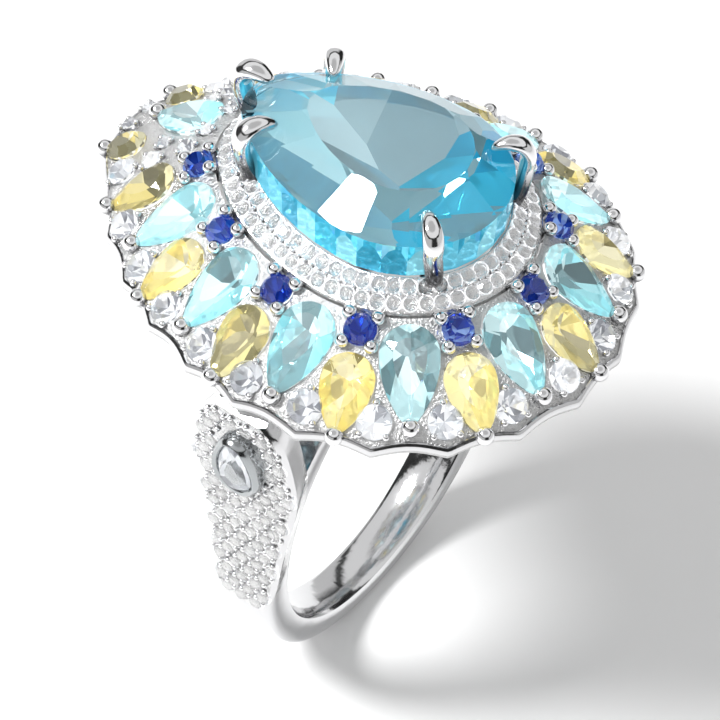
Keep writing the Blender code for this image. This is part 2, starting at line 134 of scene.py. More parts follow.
def rhodium(name, colour, roughness, grain_size, grain_depth, tarnish=0.06, painted_shade=0.0):
    """Polished or grained white metal. The grain size is in millimetres. A painted shade darkens the places
    whose shade mask attribute is 1, by the given amount."""
    material, tree, shader = material_with_shader(name)
    shader.inputs["Metallic"].default_value = 1.0
    place = add_node(tree, "ShaderNodeTexCoord").outputs["Object"]
    cloud = add_node(
        tree, "ShaderNodeTexNoise", [("Vector", place), ("Scale", 0.35 / MM), ("Detail", 3.0)]
    ).outputs["Fac"]
    wear = add_node(
        tree,
        "ShaderNodeMapRange",
        [("Value", cloud), ("From Min", 0.3), ("From Max", 0.7), ("To Min", roughness * 0.8)],
    )
    wear.inputs["To Max"].default_value = roughness * 1.5
    tree.links.new(wear.outputs["Result"], shader.inputs["Roughness"])
    dark = tuple(c * (1.0 - tarnish) for c in colour)
    shade = add_node(tree, "ShaderNodeMix", [("Factor", cloud)], data_type="RGBA")
    shade.inputs[6].default_value = (*dark, 1.0)
    shade.inputs[7].default_value = (*colour, 1.0)
    # Painted shade: the colour goes towards near black where the mesh's shade mask is 1.
    painted_shade_mask = add_node(tree, "ShaderNodeAttribute", attribute_name="painted_shade_mask").outputs["Fac"]
    deep = add_node(tree, "ShaderNodeMath", [(0, painted_shade_mask), (1, painted_shade)], operation="MULTIPLY").outputs[0]
    painted_shade_mix = add_node(tree, "ShaderNodeMix", [("Factor", deep)], data_type="RGBA")
    tree.links.new(shade.outputs[2], painted_shade_mix.inputs[6])
    painted_shade_mix.inputs[7].default_value = (*PAINTED_SHADE_COLOUR, 1.0)
    tree.links.new(painted_shade_mix.outputs[2], shader.inputs["Base Color"])
    grain = add_node(
        tree, "ShaderNodeTexNoise", [("Vector", place), ("Scale", 1.0 / (grain_size * MM)), ("Detail", 4.0)]
    ).outputs["Fac"]
    bump = add_node(
        tree, "ShaderNodeBump", [("Height", grain), ("Strength", grain_depth), ("Distance", grain_size * MM)]
    )
    tree.links.new(bump.outputs["Normal"], shader.inputs["Normal"])
    return material


polished = rhodium("bright_polish", (0.82, 0.82, 0.83), 0.06, 0.9, 0.035)
# Beads and claws carry painted shade on their lower parts.
beaded = rhodium("bead_polish", (0.86, 0.86, 0.87), 0.06, 0.9, 0.035, painted_shade=0.9)
casting = rhodium("cast_polish", (0.72, 0.72, 0.73), 0.10, 0.9, 0.03, tarnish=0.1)
# A darker copy of the polished metal, as painted shade: for the rails under the stone and the bezel cups.
shaded = rhodium("painted_shade_polish", (0.42, 0.44, 0.45), 0.12, 0.9, 0.03)
grained = rhodium("setter_grain", (0.74, 0.74, 0.74), 0.28, 0.13, 1.0, tarnish=0.3)
pave_metal = rhodium("pave_metal", (0.80, 0.80, 0.80), 0.18, 0.2, 0.5, tarnish=0.2)


def finished(name, mesh, material, slot, *nodes, smooth=40.0):
    """Makes the mesh a piece of the ring that stands for these nodes. A smooth angle of 0 keeps facets."""
    piece = bpy.data.objects.new(name, mesh)
    bpy.context.scene.collection.objects.link(piece)
    if material:
        mesh.materials.clear()
        mesh.materials.append(material)
    if smooth:
        mesh.shade_smooth()
        mesh.set_sharp_from_angle(angle=math.radians(smooth))
    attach(piece, "root")
    if nodes:
        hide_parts(*nodes)
    return piece


def loft(name, rings, looped=False):
    """A closed mesh through rings of equally many points. An end ring may be a single point."""
    bm = bmesh.new()
    rows = [[bm.verts.new(point) for point in ring] for ring in rings]
    pairs = list(zip(rows, rows[1:]))
    if looped:
        pairs.append((rows[-1], rows[0]))
    for low, high in pairs:
        count = max(len(low), len(high))
        for i in range(count):
            j = (i + 1) % count
            corners = (low[i % len(low)], low[j % len(low)], high[j % len(high)], high[i % len(high)])
            bm.faces.new(list(dict.fromkeys(corners)))
    if not looped:
        for end in (rows[0], rows[-1]):
            if len(end) > 1:
                bm.faces.new(end)
    bmesh.ops.recalc_face_normals(bm, faces=bm.faces)
    mesh = bpy.data.meshes.new(name)
    bm.to_mesh(mesh)
    bm.free()
    return mesh


# Centre stone. A light-blue pear of 14.5 by 10.6 mm, brilliant cut: a large table, a low crown of mains,
# stars and halves, a thin girdle, a steep tier under it, and deep pavilion facets that meet at the culet.
stone_low, stone_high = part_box("centre_stone")
STONE_LENGTH = stone_high.y - stone_low.y
CENTRE_WIDTH = stone_high.x - stone_low.x
CENTRE_TIP_RADIUS = 2.7 * MM
CENTRE_CROWN = 1.6 * MM
CENTRE_PAVILION = 4.5 * MM
CENTRE_GIRDLE = 0.2 * MM
CENTRE_TABLE = 0.60
CENTRE_BELLY = 1.75 * MM
CENTRE_SCATTER = 1.6 * MM
CENTRE_MAINS = 16
CENTRE_STEPS = 128
CENTRE_SEED = 12
STONE_FORWARD = (stone_low.y + stone_high.y) / 2
GIRDLE_HEIGHT = stone_high.z - CENTRE_CROWN - CENTRE_GIRDLE / 2


class Pear:
    """A pear outline of arcs: a round end of half the width, two long sides and a small round tip at +Y.
    A share runs from 0 at the middle of the round end to 1 or -1 at the tip, along the outline at `base`."""

    def __init__(self, length, width, tip_radius, base=0.0):
        self.base = base
        self.round_radius = width / 2
        self.tip_radius = tip_radius
        self.round_centre = -length / 2 + self.round_radius
        self.tip_centre = length / 2 - tip_radius
        rise = self.tip_centre - self.round_centre
        self.side_radius = (rise**2 + self.round_radius**2 - tip_radius**2) / (2 * (width / 2 - tip_radius))
        self.side_angle = math.atan2(rise, self.side_radius - self.round_radius)
        self.round_run = (self.round_radius + base) * math.pi / 2
        self.side_run = (self.side_radius + base) * self.side_angle
        self.tip_run = (tip_radius + base) * (math.pi / 2 - self.side_angle)
        self.half_run = self.round_run + self.side_run + self.tip_run

    def point(self, share, offset=0.0):
        """The plan point at an offset from the outline, and the outward normal there."""
        run = abs(share) * self.half_run
        side = -1.0 if share < 0 else 1.0
        if run <= self.round_run:
            angle = -math.pi / 2 + run / (self.round_radius + self.base)
            centre = Vector((0.0, self.round_centre))
            radius = self.round_radius
        elif run <= self.round_run + self.side_run:
            angle = (run - self.round_run) / (self.side_radius + self.base)
            centre = Vector((self.round_radius - self.side_radius, self.round_centre))
            radius = self.side_radius
        else:
            angle = self.side_angle + (run - self.round_run - self.side_run) / (self.tip_radius + self.base)
            centre = Vector((0.0, self.tip_centre))
            radius = self.tip_radius
        normal = Vector((math.cos(angle), math.sin(angle)))
        place = centre + normal * (radius + offset)
        return Vector((side * place.x, place.y)), Vector((side * normal.x, normal.y))


class Round:
    """A circle, with the same shares as a pear."""

    def __init__(self, diameter):
        self.radius = diameter / 2
        self.round_centre = 0.0

    def point(self, share, offset=0.0):
        normal = Vector((math.sin(share * math.pi), -math.cos(share * math.pi)))
        return normal * (self.radius + offset), normal


BELLY_WAIST = 0.985
# Ramp places for the steep tier's painted reflections: aqua shades, no greys or white.
TIER_SHADES = (0.05, 0.3, 0.3, 0.55, 0.93)
TIER_SLOPE = 0.2
FACET_STEP = 0.618
FACET_STRAY = 0.1
PAVILION_ROOM = 1.02
HALF_DEPTH = 1.22
HALF_REACH = 0.28
STAR_REACH = 0.92
STAR_HEIGHT = 0.42
FACET_WELD = 1e-7


def cut_gem(name, outline, sizes, mains, halves, steps, seed, belly=0.0, scatter=0.0):
    """Cuts a prism of the outline facet by facet, as a lapidary does. The sizes are crown, girdle,
    pavilion and table, and a belly is a steep first tier under the girdle. Each face keeps its own shade,
    well apart from its neighbours' shades, and says whether it is the table or part of the pavilion. The
    shades are painted reflections, and the girdle counts as pavilion, so it gets a painted shade too."""
    crown, girdle, pavilion, table = sizes
    draw = random.Random(seed)
    waist = BELLY_WAIST if belly else 1.0
    centre = Vector((0.0, outline.round_centre))
    ring = [outline.point(-1.0 + 2.0 * i / steps)[0] for i in range(steps)]
    low = -girdle / 2 - pavilion * PAVILION_ROOM
    high = girdle / 2 + crown
    bm = bmesh.new()
    bottom = bm.faces.new([bm.verts.new((p.x, p.y, low)) for p in ring])
    raised = bmesh.ops.extrude_face_region(bm, geom=[bottom])["geom"]
    top_ring = [v for v in raised if isinstance(v, bmesh.types.BMVert)]
    bmesh.ops.translate(bm, verts=top_ring, vec=(0, 0, high - low))
    bmesh.ops.recalc_face_normals(bm, faces=bm.faces)

    def facet(share, height, aim, inset=1.0):
        """One flat cut through the outline's tangent at a share, sloping to the aim."""
        plan, normal = outline.point(share)
        plan = centre + (plan - centre) * inset
        point = Vector((plan.x, plan.y, height))
        tangent = Vector((-normal.y, normal.x, 0.0))
        face = tangent.cross(aim - point).normalized()
        if face.dot(Vector((normal.x, normal.y, 0.0))) < 0:
            face.negate()
        everything = bm.verts[:] + bm.edges[:] + bm.faces[:]
        cut = bmesh.ops.bisect_plane(
            bm, geom=everything, dist=FACET_WELD / 10, plane_co=point, plane_no=face, clear_outer=True
        )
        edges = [e for e in cut["geom_cut"] if isinstance(e, bmesh.types.BMEdge)]
        if len(edges) > 2:
            bmesh.ops.contextual_create(bm, geom=edges)

    def culet(depth=1.0):
        """Where the pavilion's facets meet, each a little off."""
        x, y = draw.uniform(-scatter, scatter), draw.uniform(-scatter, scatter)
        return Vector((x, outline.round_centre + y, -girdle / 2 - pavilion * depth))

    for i in range(mains):
        share = -1.0 + 2.0 * (i + 0.5) / mains
        plan, _ = outline.point(share)
        edge = centre + (plan - centre) * table
        facet(share, girdle / 2, Vector((edge.x, edge.y, high)))
        facet(share, -girdle / 2 - belly, culet(), inset=waist)
    for i in range(halves):
        share = -1.0 + 2.0 * (i + 0.5) / halves
        plan, _ = outline.point(share)
        edge = centre + (plan - centre) * (table + (1.0 - table) * HALF_REACH)
        facet(share, girdle / 2, Vector((edge.x, edge.y, high)))
        facet(share, -girdle / 2 - belly, culet(HALF_DEPTH), inset=waist)
        if belly:
            lower = centre + (plan - centre) * waist
            facet(share, -girdle / 2, Vector((lower.x, lower.y, -girdle / 2 - belly)))
    for i in range(mains if halves else 0):
        share = -1.0 + 2.0 * i / mains
        plan, _ = outline.point(share)
        edge = centre + (plan - centre) * STAR_REACH
        facet(share, high, Vector((edge.x, edge.y, girdle / 2 + crown * STAR_HEIGHT)), inset=table)
    bmesh.ops.remove_doubles(bm, verts=bm.verts, dist=FACET_WELD)
    bmesh.ops.dissolve_degenerate(bm, dist=FACET_WELD, edges=bm.edges)
    bmesh.ops.recalc_face_normals(bm, faces=bm.faces)
    # Values for the painted reflections, and masks for the pavilion, girdle included, and the table.
    sparkle = bm.faces.layers.float.new("facet")
    under = bm.faces.layers.float.new("under")
    top = bm.faces.layers.float.new("table")
    around = sorted(bm.faces, key=lambda f: math.atan2(*(f.calc_center_median().xy - centre)))
    for turn, face in enumerate(around):
        if belly and abs(face.normal.z) < TIER_SLOPE:
            face[sparkle] = draw.choice(TIER_SHADES)
        else:
            face[sparkle] = (turn * FACET_STEP + draw.random() * FACET_STRAY) % 1.0
        face[under] = 1.0 if face.normal.z < 0.05 else 0.0
        face[top] = 1.0 if face.normal.z > 0.99 else 0.0
    mesh = bpy.data.meshes.new(name)
    bm.to_mesh(mesh)
    bm.free()
    return mesh


def gemstone(name, body, painted_table_tint, painted_pavilion_shades, index, painted_glow_strength, foil=0.65):
    """Clear coloured crown and paler table over bright pavilion facets, whose shade changes from facet to
    facet. The paler table is painted light, and the facet shades are painted reflections, the light and dark
    that a cut stone throws back. The pavilion also shines back part of the light, as the foil, a real
    reflection, and glows a little by itself: a painted glow, since it is no lamp."""
    material, tree, shader = material_with_shader(name)
    shader.inputs["IOR"].default_value = index
    shader.inputs["Roughness"].default_value = 0.0
    # Painted reflections: each facet's value and each copy's sparkle pick its colour from the ramp of shades.
    facet = add_node(tree, "ShaderNodeAttribute", attribute_name="facet").outputs["Fac"]
    turn = add_node(tree, "ShaderNodeAttribute", attribute_name="sparkle").outputs["Fac"]
    under = add_node(tree, "ShaderNodeAttribute", attribute_name="under").outputs["Fac"]
    total = add_node(tree, "ShaderNodeMath", [(0, facet), (1, turn)], operation="ADD").outputs[0]
    shade = add_node(tree, "ShaderNodeMath", [(0, total)], operation="FRACT").outputs[0]
    ramp = add_node(tree, "ShaderNodeValToRGB", [("Fac", shade)])
    ramp.color_ramp.interpolation = "CONSTANT"
    for i, colour in enumerate(painted_pavilion_shades):
        at = i / len(painted_pavilion_shades)
        stop = ramp.color_ramp.elements[0] if i == 0 else ramp.color_ramp.elements.new(at)
        stop.color = (*colour, 1.0)
    ramp.color_ramp.elements.remove(ramp.color_ramp.elements[-1])
    place = add_node(tree, "ShaderNodeTexCoord").outputs["Object"]
    cloud = add_node(
        tree, "ShaderNodeTexNoise", [("Vector", place), ("Scale", 0.5 / MM), ("Detail", 2.0)]
    ).outputs["Fac"]
    glow = add_node(tree, "ShaderNodeMix", [("Factor", cloud)], data_type="RGBA")
    glow.inputs[6].default_value = (*body, 1.0)
    glow.inputs[7].default_value = (*(min(1.0, c * 1.08) for c in body), 1.0)
    # Painted light: the table gets its own paler colour.
    top = add_node(tree, "ShaderNodeAttribute", attribute_name="table").outputs["Fac"]
    upper = add_node(tree, "ShaderNodeMix", [("Factor", top)], data_type="RGBA")
    tree.links.new(glow.outputs[2], upper.inputs[6])
    upper.inputs[7].default_value = (*painted_table_tint, 1.0)
    colour = add_node(tree, "ShaderNodeMix", [("Factor", under)], data_type="RGBA")
    tree.links.new(upper.outputs[2], colour.inputs[6])
    tree.links.new(ramp.outputs["Color"], colour.inputs[7])
    tree.links.new(colour.outputs[2], shader.inputs["Base Color"])
    silver = add_node(tree, "ShaderNodeMath", [(0, under), (1, foil)], operation="MULTIPLY").outputs[0]
    tree.links.new(silver, shader.inputs["Metallic"])
    # Painted glow: the pavilion emits its own facet colour, though it is no lamp.
    painted_glow_colour = add_node(tree, "ShaderNodeMix", [("Factor", under)], data_type="RGBA")
    painted_glow_colour.inputs[6].default_value = (0.0, 0.0, 0.0, 1.0)
    tree.links.new(ramp.outputs["Color"], painted_glow_colour.inputs[7])
    tree.links.new(painted_glow_colour.outputs[2], shader.inputs["Emission Color"])
    shader.inputs["Emission Strength"].default_value = painted_glow_strength
    clear = add_node(tree, "ShaderNodeMath", [(0, 1.0), (1, under)], operation="SUBTRACT").outputs[0]
    tree.links.new(clear, shader.inputs["Transmission Weight"])
    return material


# Painted reflections for the centre stone's pavilion: facet colours from near white to dark grey.
AQUA_SHADES = (
    (0.06, 0.50, 0.70),
    (0.58, 0.72, 0.76),
    (0.15, 0.62, 0.82),
    (0.26, 0.37, 0.41),
    (0.04, 0.36, 0.54),
    (0.92, 0.98, 1.00),
    (0.38, 0.50, 0.54),
    (0.28, 0.74, 0.88),
)
PALE_STONE_INDEX = 1.55
# The number after the index is the strength of the painted glow.
centre_gem = gemstone(
    "centre_aqua", (0.60, 0.91, 0.98), (0.90, 0.98, 1.0), AQUA_SHADES, PALE_STONE_INDEX, 0.27, foil=0.5
)
centre_outline = Pear(STONE_LENGTH, CENTRE_WIDTH, CENTRE_TIP_RADIUS)
centre_mesh = cut_gem(
    "centre_stone",
    centre_outline,
    (CENTRE_CROWN, CENTRE_GIRDLE, CENTRE_PAVILION, CENTRE_TABLE),
    CENTRE_MAINS,
    2 * CENTRE_MAINS,
    CENTRE_STEPS,
    CENTRE_SEED,
    belly=CENTRE_BELLY,
    scatter=CENTRE_SCATTER,
)
centre_mesh.transform(Matrix.Translation((0.0, STONE_FORWARD, GIRDLE_HEIGHT)))
finished("centre_gem", centre_mesh, centre_gem, "centre_stone", "centre_stone", smooth=0.0)

# Sunburst stones. Pale aqua and pale yellow pears lie head inward on the dome, turn about, with a deep
# blue round stone above each yellow one. At the pear's tip one aqua lies between two small yellows.
HALO_OUT = 1.72 * MM
HALO_DROP = 1.85 * MM
HALO_FALL = 0.95 * MM
BLUE_CENTRE = 0.86 * MM
DOME_SLOPE = 0.62
DOME_CURVE = 25.0
DOME_SPREAD = 0.20
DOME_TIP_SPREAD = 0.24
DOME_TIP_POWER = 20
PITCH_SHARE = 0.1737
REPEATS = 10
HEAD_FORWARD = 1.0 * MM
HEAD_LENGTH = 14.0 * MM
HEAD = Pear(HEAD_LENGTH, CENTRE_WIDTH, CENTRE_TIP_RADIUS, base=HALO_OUT + BLUE_CENTRE)


def dome_offset(share, out):
    """The offset from the girdle outline of a place `out` from the dome's inner edge."""
    spread = DOME_SPREAD * share**2 + DOME_TIP_SPREAD * abs(share) ** DOME_TIP_POWER
    return HALO_OUT + out * (1.0 + spread)


def dome_point(share, out, below=0.0):
    """A place on the dome, `out` from its inner edge and below its top."""
    plan, _ = HEAD.point(share, dome_offset(share, out))
    drop = HALO_DROP + HALO_FALL + DOME_SLOPE * out + DOME_CURVE * out**2
    return Vector((plan.x, plan.y + HEAD_FORWARD, GIRDLE_HEIGHT - drop - below))


def dome_frame(share, inner, length):
    """Where a stone lies on the dome: its middle, with X across, Y outward and Z up from the metal."""
    start = dome_point(share, inner)
    along = (dome_point(share, inner + length) - start).normalized()
    _, normal = HEAD.point(share)
    across = Vector((normal.y, -normal.x, 0.0))
    turned = Matrix((across, along, across.cross(along).normalized())).transposed().to_4x4()
    turned.translation = start + along * (length / 2)
    return turned


SMALL_SIZES = (0.42 * MM, 0.1 * MM, 1.0 * MM, 0.55)
SMALL_SCATTER = 0.14 * MM
SMALL_LEAN = 0.05
BLUE_TILT = 0.14
PEAR_TIP_RADIUS = 0.25 * MM
# Painted reflections for the small stones' pavilions, one palette to each colour.
SMALL_AQUA_SHADES = (
    (0.40, 0.48, 0.50),
    (0.97, 1.0, 1.0),
    (0.60, 0.88, 0.92),
    (0.22, 0.30, 0.32),
    (0.86, 0.97, 0.98),
    (0.45, 0.77, 0.82),
)
SMALL_YELLOW_SHADES = (
    (0.50, 0.47, 0.34),
    (1.0, 0.99, 0.90),
    (1.0, 0.88, 0.45),
    (0.26, 0.25, 0.18),
    (1.0, 0.96, 0.74),
    (0.95, 0.84, 0.42),
)
SMALL_BLUE_SHADES = ((0.02, 0.07, 0.36), (0.14, 0.32, 0.80), (0.03, 0.10, 0.52), (0.70, 0.82, 1.0))
# The number after the index is the strength of the painted glow.
aqua_gem = gemstone(
    "small_aqua", (0.66, 0.92, 0.95), (0.94, 0.99, 1.0), SMALL_AQUA_SHADES, PALE_STONE_INDEX, 0.42
)
yellow_gem = gemstone(
    "small_yellow", (1.0, 0.95, 0.66), (1.0, 0.99, 0.92), SMALL_YELLOW_SHADES, PALE_STONE_INDEX, 0.28
)
BLUE_STONE_INDEX = 1.6
blue_gem = gemstone(
    "small_blue", (0.28, 0.45, 0.88), (0.50, 0.66, 0.95), SMALL_BLUE_SHADES, BLUE_STONE_INDEX, 0.18
)
stone_finish = {
    "aqua": (aqua_gem, "aqua_stone"),
    "tip_aqua": (aqua_gem, "aqua_stone"),
    "yellow": (yellow_gem, "yellow_stone"),
    "tip_yellow": (yellow_gem, "yellow_stone"),
    "blue": (blue_gem, "blue_stone"),
}
pear_sizes = {
    "aqua": (4.85 * MM, 2.9 * MM),
    "tip_aqua": (4.3 * MM, 2.9 * MM),
    "yellow": (4.0 * MM, 2.6 * MM),
    "tip_yellow": (2.5 * MM, 2.0 * MM),
}
AQUA_INNER = 0.3 * MM
YELLOW_INNER = 1.65 * MM
TIP_AQUA_INNER = 0.62 * MM
TIP_YELLOW_INNER = 3.35 * MM
TIP_YELLOW_SHARE = 0.952
BLUE_DIAMETER = 1.6 * MM
SMALL_MAINS = 8
SMALL_STEPS = 40
outlines = {name: Pear(*size, PEAR_TIP_RADIUS) for name, size in pear_sizes.items()}
outlines["blue"] = Round(BLUE_DIAMETER)
seats = []
tips = []
blues = []


def set_stone(piece, node, kind, share, inner, seed):
    """Cuts one stone, lays it on the dome and keeps its place for the seat under it."""
    outline = outlines[kind]
    length = outline.radius * 2 if kind == "blue" else pear_sizes[kind][0]
    place = dome_frame(share, inner, length)
    mesh = cut_gem(
        node, outline, SMALL_SIZES, SMALL_MAINS, 2 * SMALL_MAINS, SMALL_STEPS, seed, scatter=SMALL_SCATTER
    )
    draw = random.Random(seed)
    tilt = BLUE_TILT if kind == "blue" else 0.0
    lean = Matrix.Rotation(tilt + draw.uniform(-SMALL_LEAN, SMALL_LEAN), 4, "X")
    mesh.transform(place @ lean @ Matrix.Rotation(draw.uniform(-SMALL_LEAN, SMALL_LEAN), 4, "Y"))
    material, slot = stone_finish[kind]
    finished(piece, mesh, material, slot, node, smooth=0.0)
    seats.append((outline, place))
    return place


YELLOW_SEED = 100
TIP_YELLOW_SEED = 120
BLUE_SEED = 200
AQUA_SEED = 300
TIP_AQUA_SEED = 311
for i in range(REPEATS + 1):
    number = f"{i + 1:02d}"
    station = (i - REPEATS / 2) * PITCH_SHARE
    place = set_stone(
        f"yellow_gem_{number}", f"yellow_pear_{number}", "yellow", station, YELLOW_INNER, YELLOW_SEED + i
    )
    tips.append((place, pear_sizes["yellow"][0]))
    blue_inner = BLUE_CENTRE - BLUE_DIAMETER / 2
    blues.append(
        set_stone(f"blue_gem_{number}", f"blue_round_{number}", "blue", station, blue_inner, BLUE_SEED + i)
    )
    if i < REPEATS:
        between = (i - (REPEATS - 1) / 2) * PITCH_SHARE
        place = set_stone(
            f"aqua_gem_{number}", f"aqua_pear_{number}", "aqua", between, AQUA_INNER, AQUA_SEED + i
        )
        tips.append((place, pear_sizes["aqua"][0]))
place = set_stone("aqua_gem_11", "aqua_pear_11", "tip_aqua", 1.0, TIP_AQUA_INNER, TIP_AQUA_SEED)
tips.append((place, pear_sizes["tip_aqua"][0]))
for side, share in (("left", -TIP_YELLOW_SHARE), ("right", TIP_YELLOW_SHARE)):
    place = set_stone(
        f"tip_yellow_gem_{side}", f"tip_yellow_{side}", "tip_yellow", share, TIP_YELLOW_INNER, TIP_YELLOW_SEED
    )
    tips.append((place, pear_sizes["tip_yellow"][0]))

# Setting tree. Beads, prongs and small round stones are all placed the same way: one piece at every
# point of a guide mesh, turned and sized by what the point carries, then joined to one mesh.


def setting_tree():
    """Geometry Nodes that put the piece on every point of the guide and give each copy its own sparkle: a
    random turn of its painted reflections.
    """
    tree = bpy.data.node_groups.new("set_at_points", "GeometryNodeTree")
    face = tree.interface
    face.new_socket("Guide", in_out="INPUT", socket_type="NodeSocketGeometry")
    face.new_socket("Piece", in_out="INPUT", socket_type="NodeSocketObject")
    face.new_socket("Size", in_out="INPUT", socket_type="NodeSocketFloat")
    face.new_socket("Finish", in_out="INPUT", socket_type="NodeSocketMaterial")
    face.new_socket("Seed", in_out="INPUT", socket_type="NodeSocketInt")
    face.new_socket("Set", in_out="OUTPUT", socket_type="NodeSocketGeometry")
    given = add_node(tree, "NodeGroupInput").outputs
    info = add_node(tree, "GeometryNodeObjectInfo", [("Object", given["Piece"])]).outputs["Geometry"]
    turn = add_node(
        tree, "GeometryNodeInputNamedAttribute", [("Name", "turn")], data_type="FLOAT_VECTOR"
    ).outputs["Attribute"]
    size = add_node(
        tree, "GeometryNodeInputNamedAttribute", [("Name", "size")], data_type="FLOAT"
    ).outputs["Attribute"]
    scale = add_node(tree, "ShaderNodeMath", [(0, size), (1, given["Size"])], operation="MULTIPLY").outputs[0]
    placed = add_node(
        tree,
        "GeometryNodeInstanceOnPoints",
        [("Points", given["Guide"]), ("Instance", info), ("Rotation", turn), ("Scale", scale)],
    ).outputs["Instances"]
    chance = add_node(
        tree, "FunctionNodeRandomValue", [("Seed", given["Seed"])], data_type="FLOAT"
    ).outputs[1]
    marked = add_node(
        tree,
        "GeometryNodeStoreNamedAttribute",
        [("Geometry", placed), ("Name", "sparkle"), ("Value", chance)],
        data_type="FLOAT",
        domain="INSTANCE",
    ).outputs["Geometry"]
    real = add_node(tree, "GeometryNodeRealizeInstances", [("Geometry", marked)]).outputs["Geometry"]
    done = add_node(
        tree, "GeometryNodeSetMaterial", [("Geometry", real), ("Material", given["Finish"])]
    ).outputs["Geometry"]
    add_node(tree, "NodeGroupOutput", [("Set", done)])
    return tree


set_at_points = setting_tree()


def set_pieces(name, places, shape, size, material, slot, seed=1, smooth=60.0):
    """One copy of the shape, which is a mesh of unit size, at every place. A place is a matrix and a share
    of the size."""
    guide = bpy.data.meshes.new(name + "_guide")
    guide.from_pydata([place.translation for place, _ in places], [], [])
    guide.attributes.new("turn", "FLOAT_VECTOR", "POINT")
    guide.attributes.new("size", "FLOAT", "POINT")
    for i, (place, share) in enumerate(places):
        guide.attributes["turn"].data[i].vector = place.to_euler()
        guide.attributes["size"].data[i].value = share
    holder = bpy.data.objects.new(name + "_guide", guide)
    pattern = bpy.data.objects.new(name + "_pattern", shape)
    bpy.context.scene.collection.objects.link(holder)
    bpy.context.scene.collection.objects.link(pattern)
    modifier = holder.modifiers.new("setting", "NODES")
    modifier.node_group = set_at_points
    values = {"Piece": pattern, "Size": size, "Finish": material, "Seed": seed}
    for socket in set_at_points.interface.items_tree:
        if socket.name in values:
            modifier[socket.identifier] = values[socket.name]
    evaluated = holder.evaluated_get(bpy.context.evaluated_depsgraph_get())
    mesh = bpy.data.meshes.new_from_object(evaluated)
    mesh.name = name
    bpy.data.objects.remove(holder)
    bpy.data.objects.remove(pattern)
    return finished(name, mesh, None, slot, smooth=smooth)


# Where the painted shade starts on a ball, and over what height it deepens.
BALL_SHADE_START = 0.15
BALL_SHADE_FADE = 0.5


def ball_mesh(name, around, rows, stem=0.0):
    """A ball of radius 1, on a short tapering stem where one is asked for. Its lower half and stem are
    marked for painted shade.
    """
    bm = bmesh.new()
    bmesh.ops.create_uvsphere(bm, u_segments=around, v_segments=rows, radius=1.0)
    if stem:
        bmesh.ops.create_cone(
            bm,
            cap_ends=True,
            segments=around,
            radius1=0.72,
            radius2=0.9,
            depth=stem,
            matrix=Matrix.Translation((0.0, 0.0, -stem / 2)),
        )
    painted_shade_mask = bm.verts.layers.float.new("painted_shade_mask")
    for vert in bm.verts:
        vert[painted_shade_mask] = max(0.0, min(1.0, (BALL_SHADE_START - vert.co.z) / BALL_SHADE_FADE))
    mesh = bpy.data.meshes.new(name)
    bm.to_mesh(mesh)
    bm.free()
    return mesh


# White stones. Round brilliants fill the gaps between the pear tips, two to each aqua pitch, and a few
# smaller ones, each with a share, a place outward and a share of the size, fill the gaps at the tip.
WHITE_DIAMETER = 1.7 * MM
WHITE_INNER = 3.4 * MM
WHITE_INDEX = 1.7
# Painted reflections for the white stones' pavilions; the gem's last number is its painted glow.
WHITE_SHADES = (
    (0.96, 0.97, 0.98),
    (0.50, 0.52, 0.55),
    (1.0, 1.0, 1.0),
    (0.30, 0.31, 0.34),
    (0.95, 0.96, 0.98),
    (0.85, 0.87, 0.90),
)
white_gem = gemstone("small_white", (0.97, 0.98, 0.99), (1.0, 1.0, 1.0), WHITE_SHADES, WHITE_INDEX, 0.35)
FILLER_PLACES = (
    (0.925, 0.9, 0.62),
    (0.915, 2.3, 0.7),
    (0.945, 2.1, 0.5),
    (0.965, 0.45, 0.5),
    (0.985, 4.1, 0.55),
)
whites = []
for i in range(2 * REPEATS + 2):
    share = (i - REPEATS - 0.5) / 2 * PITCH_SHARE
    whites.append((dome_frame(share, WHITE_INNER, WHITE_DIAMETER), 1.0))
for share, inner, size in FILLER_PLACES:
    for side in (-1.0, 1.0):
        whites.append((dome_frame(side * share, inner * MM, size * WHITE_DIAMETER), size))
ROUND_SIZES = (0.2, 0.04, 0.42, 0.56)
unit_round = cut_gem("white_round", Round(1.0), ROUND_SIZES, SMALL_MAINS, 2 * SMALL_MAINS, 32, seed=5)
set_pieces("white_rounds", whites, unit_round, WHITE_DIAMETER, white_gem, "clear_stone", seed=3, smooth=0.0)
for place, size in whites:
    seats.append((Round(size * WHITE_DIAMETER), place))

# Dome. One cast plate, pierced with a tapering seat under each stone, grained between them and polished
# along its scalloped rim.
DOME_THICKNESS = 1.0 * MM
DOME_EDGE = 0.55 * MM
DOME_BEVEL = 0.12 * MM
DOME_BELOW_GIRDLES = 0.12 * MM
DOME_TOP_PARTS = (0.0, 0.2, 0.4, 0.6, 0.8, 0.92, 0.985)
DOME_UNDER_PARTS = (0.93, 0.6, 0.3, 0.0)
DOME_STEPS = 440
SCALLOP = 0.28 * MM
SCALLOP_END = 0.86
RIM_ROWS = (
    (0.0, 4.88),
    (0.5, 4.72),
    (0.85, 4.50),
    (0.90, 4.60),
    (0.945, 5.05),
    (0.962, 5.0),
    (0.985, 4.75),
    (1.0, 4.4),
)


def rim_reach(share):
    """The rim keeps close to the stones: it runs out round each white stone and in at each pear's tip. A
    row holds a share and how far out the rim lies there."""
    for low, high in zip(RIM_ROWS, RIM_ROWS[1:]):
        if abs(share) <= high[0]:
            reach = low[1] + (high[1] - low[1]) * (abs(share) - low[0]) / (high[0] - low[0])
            break
    wave = 1.0 - abs(math.cos(2 * math.pi * share / PITCH_SHARE))
    return reach * MM + (SCALLOP * wave if abs(share) < SCALLOP_END else 0.0)


rim_shares = [-1.0 + 2.0 * i / DOME_STEPS for i in range(DOME_STEPS)]


def dome_ring(part, below):
    return [dome_point(s, part * rim_reach(s), below) for s in rim_shares]


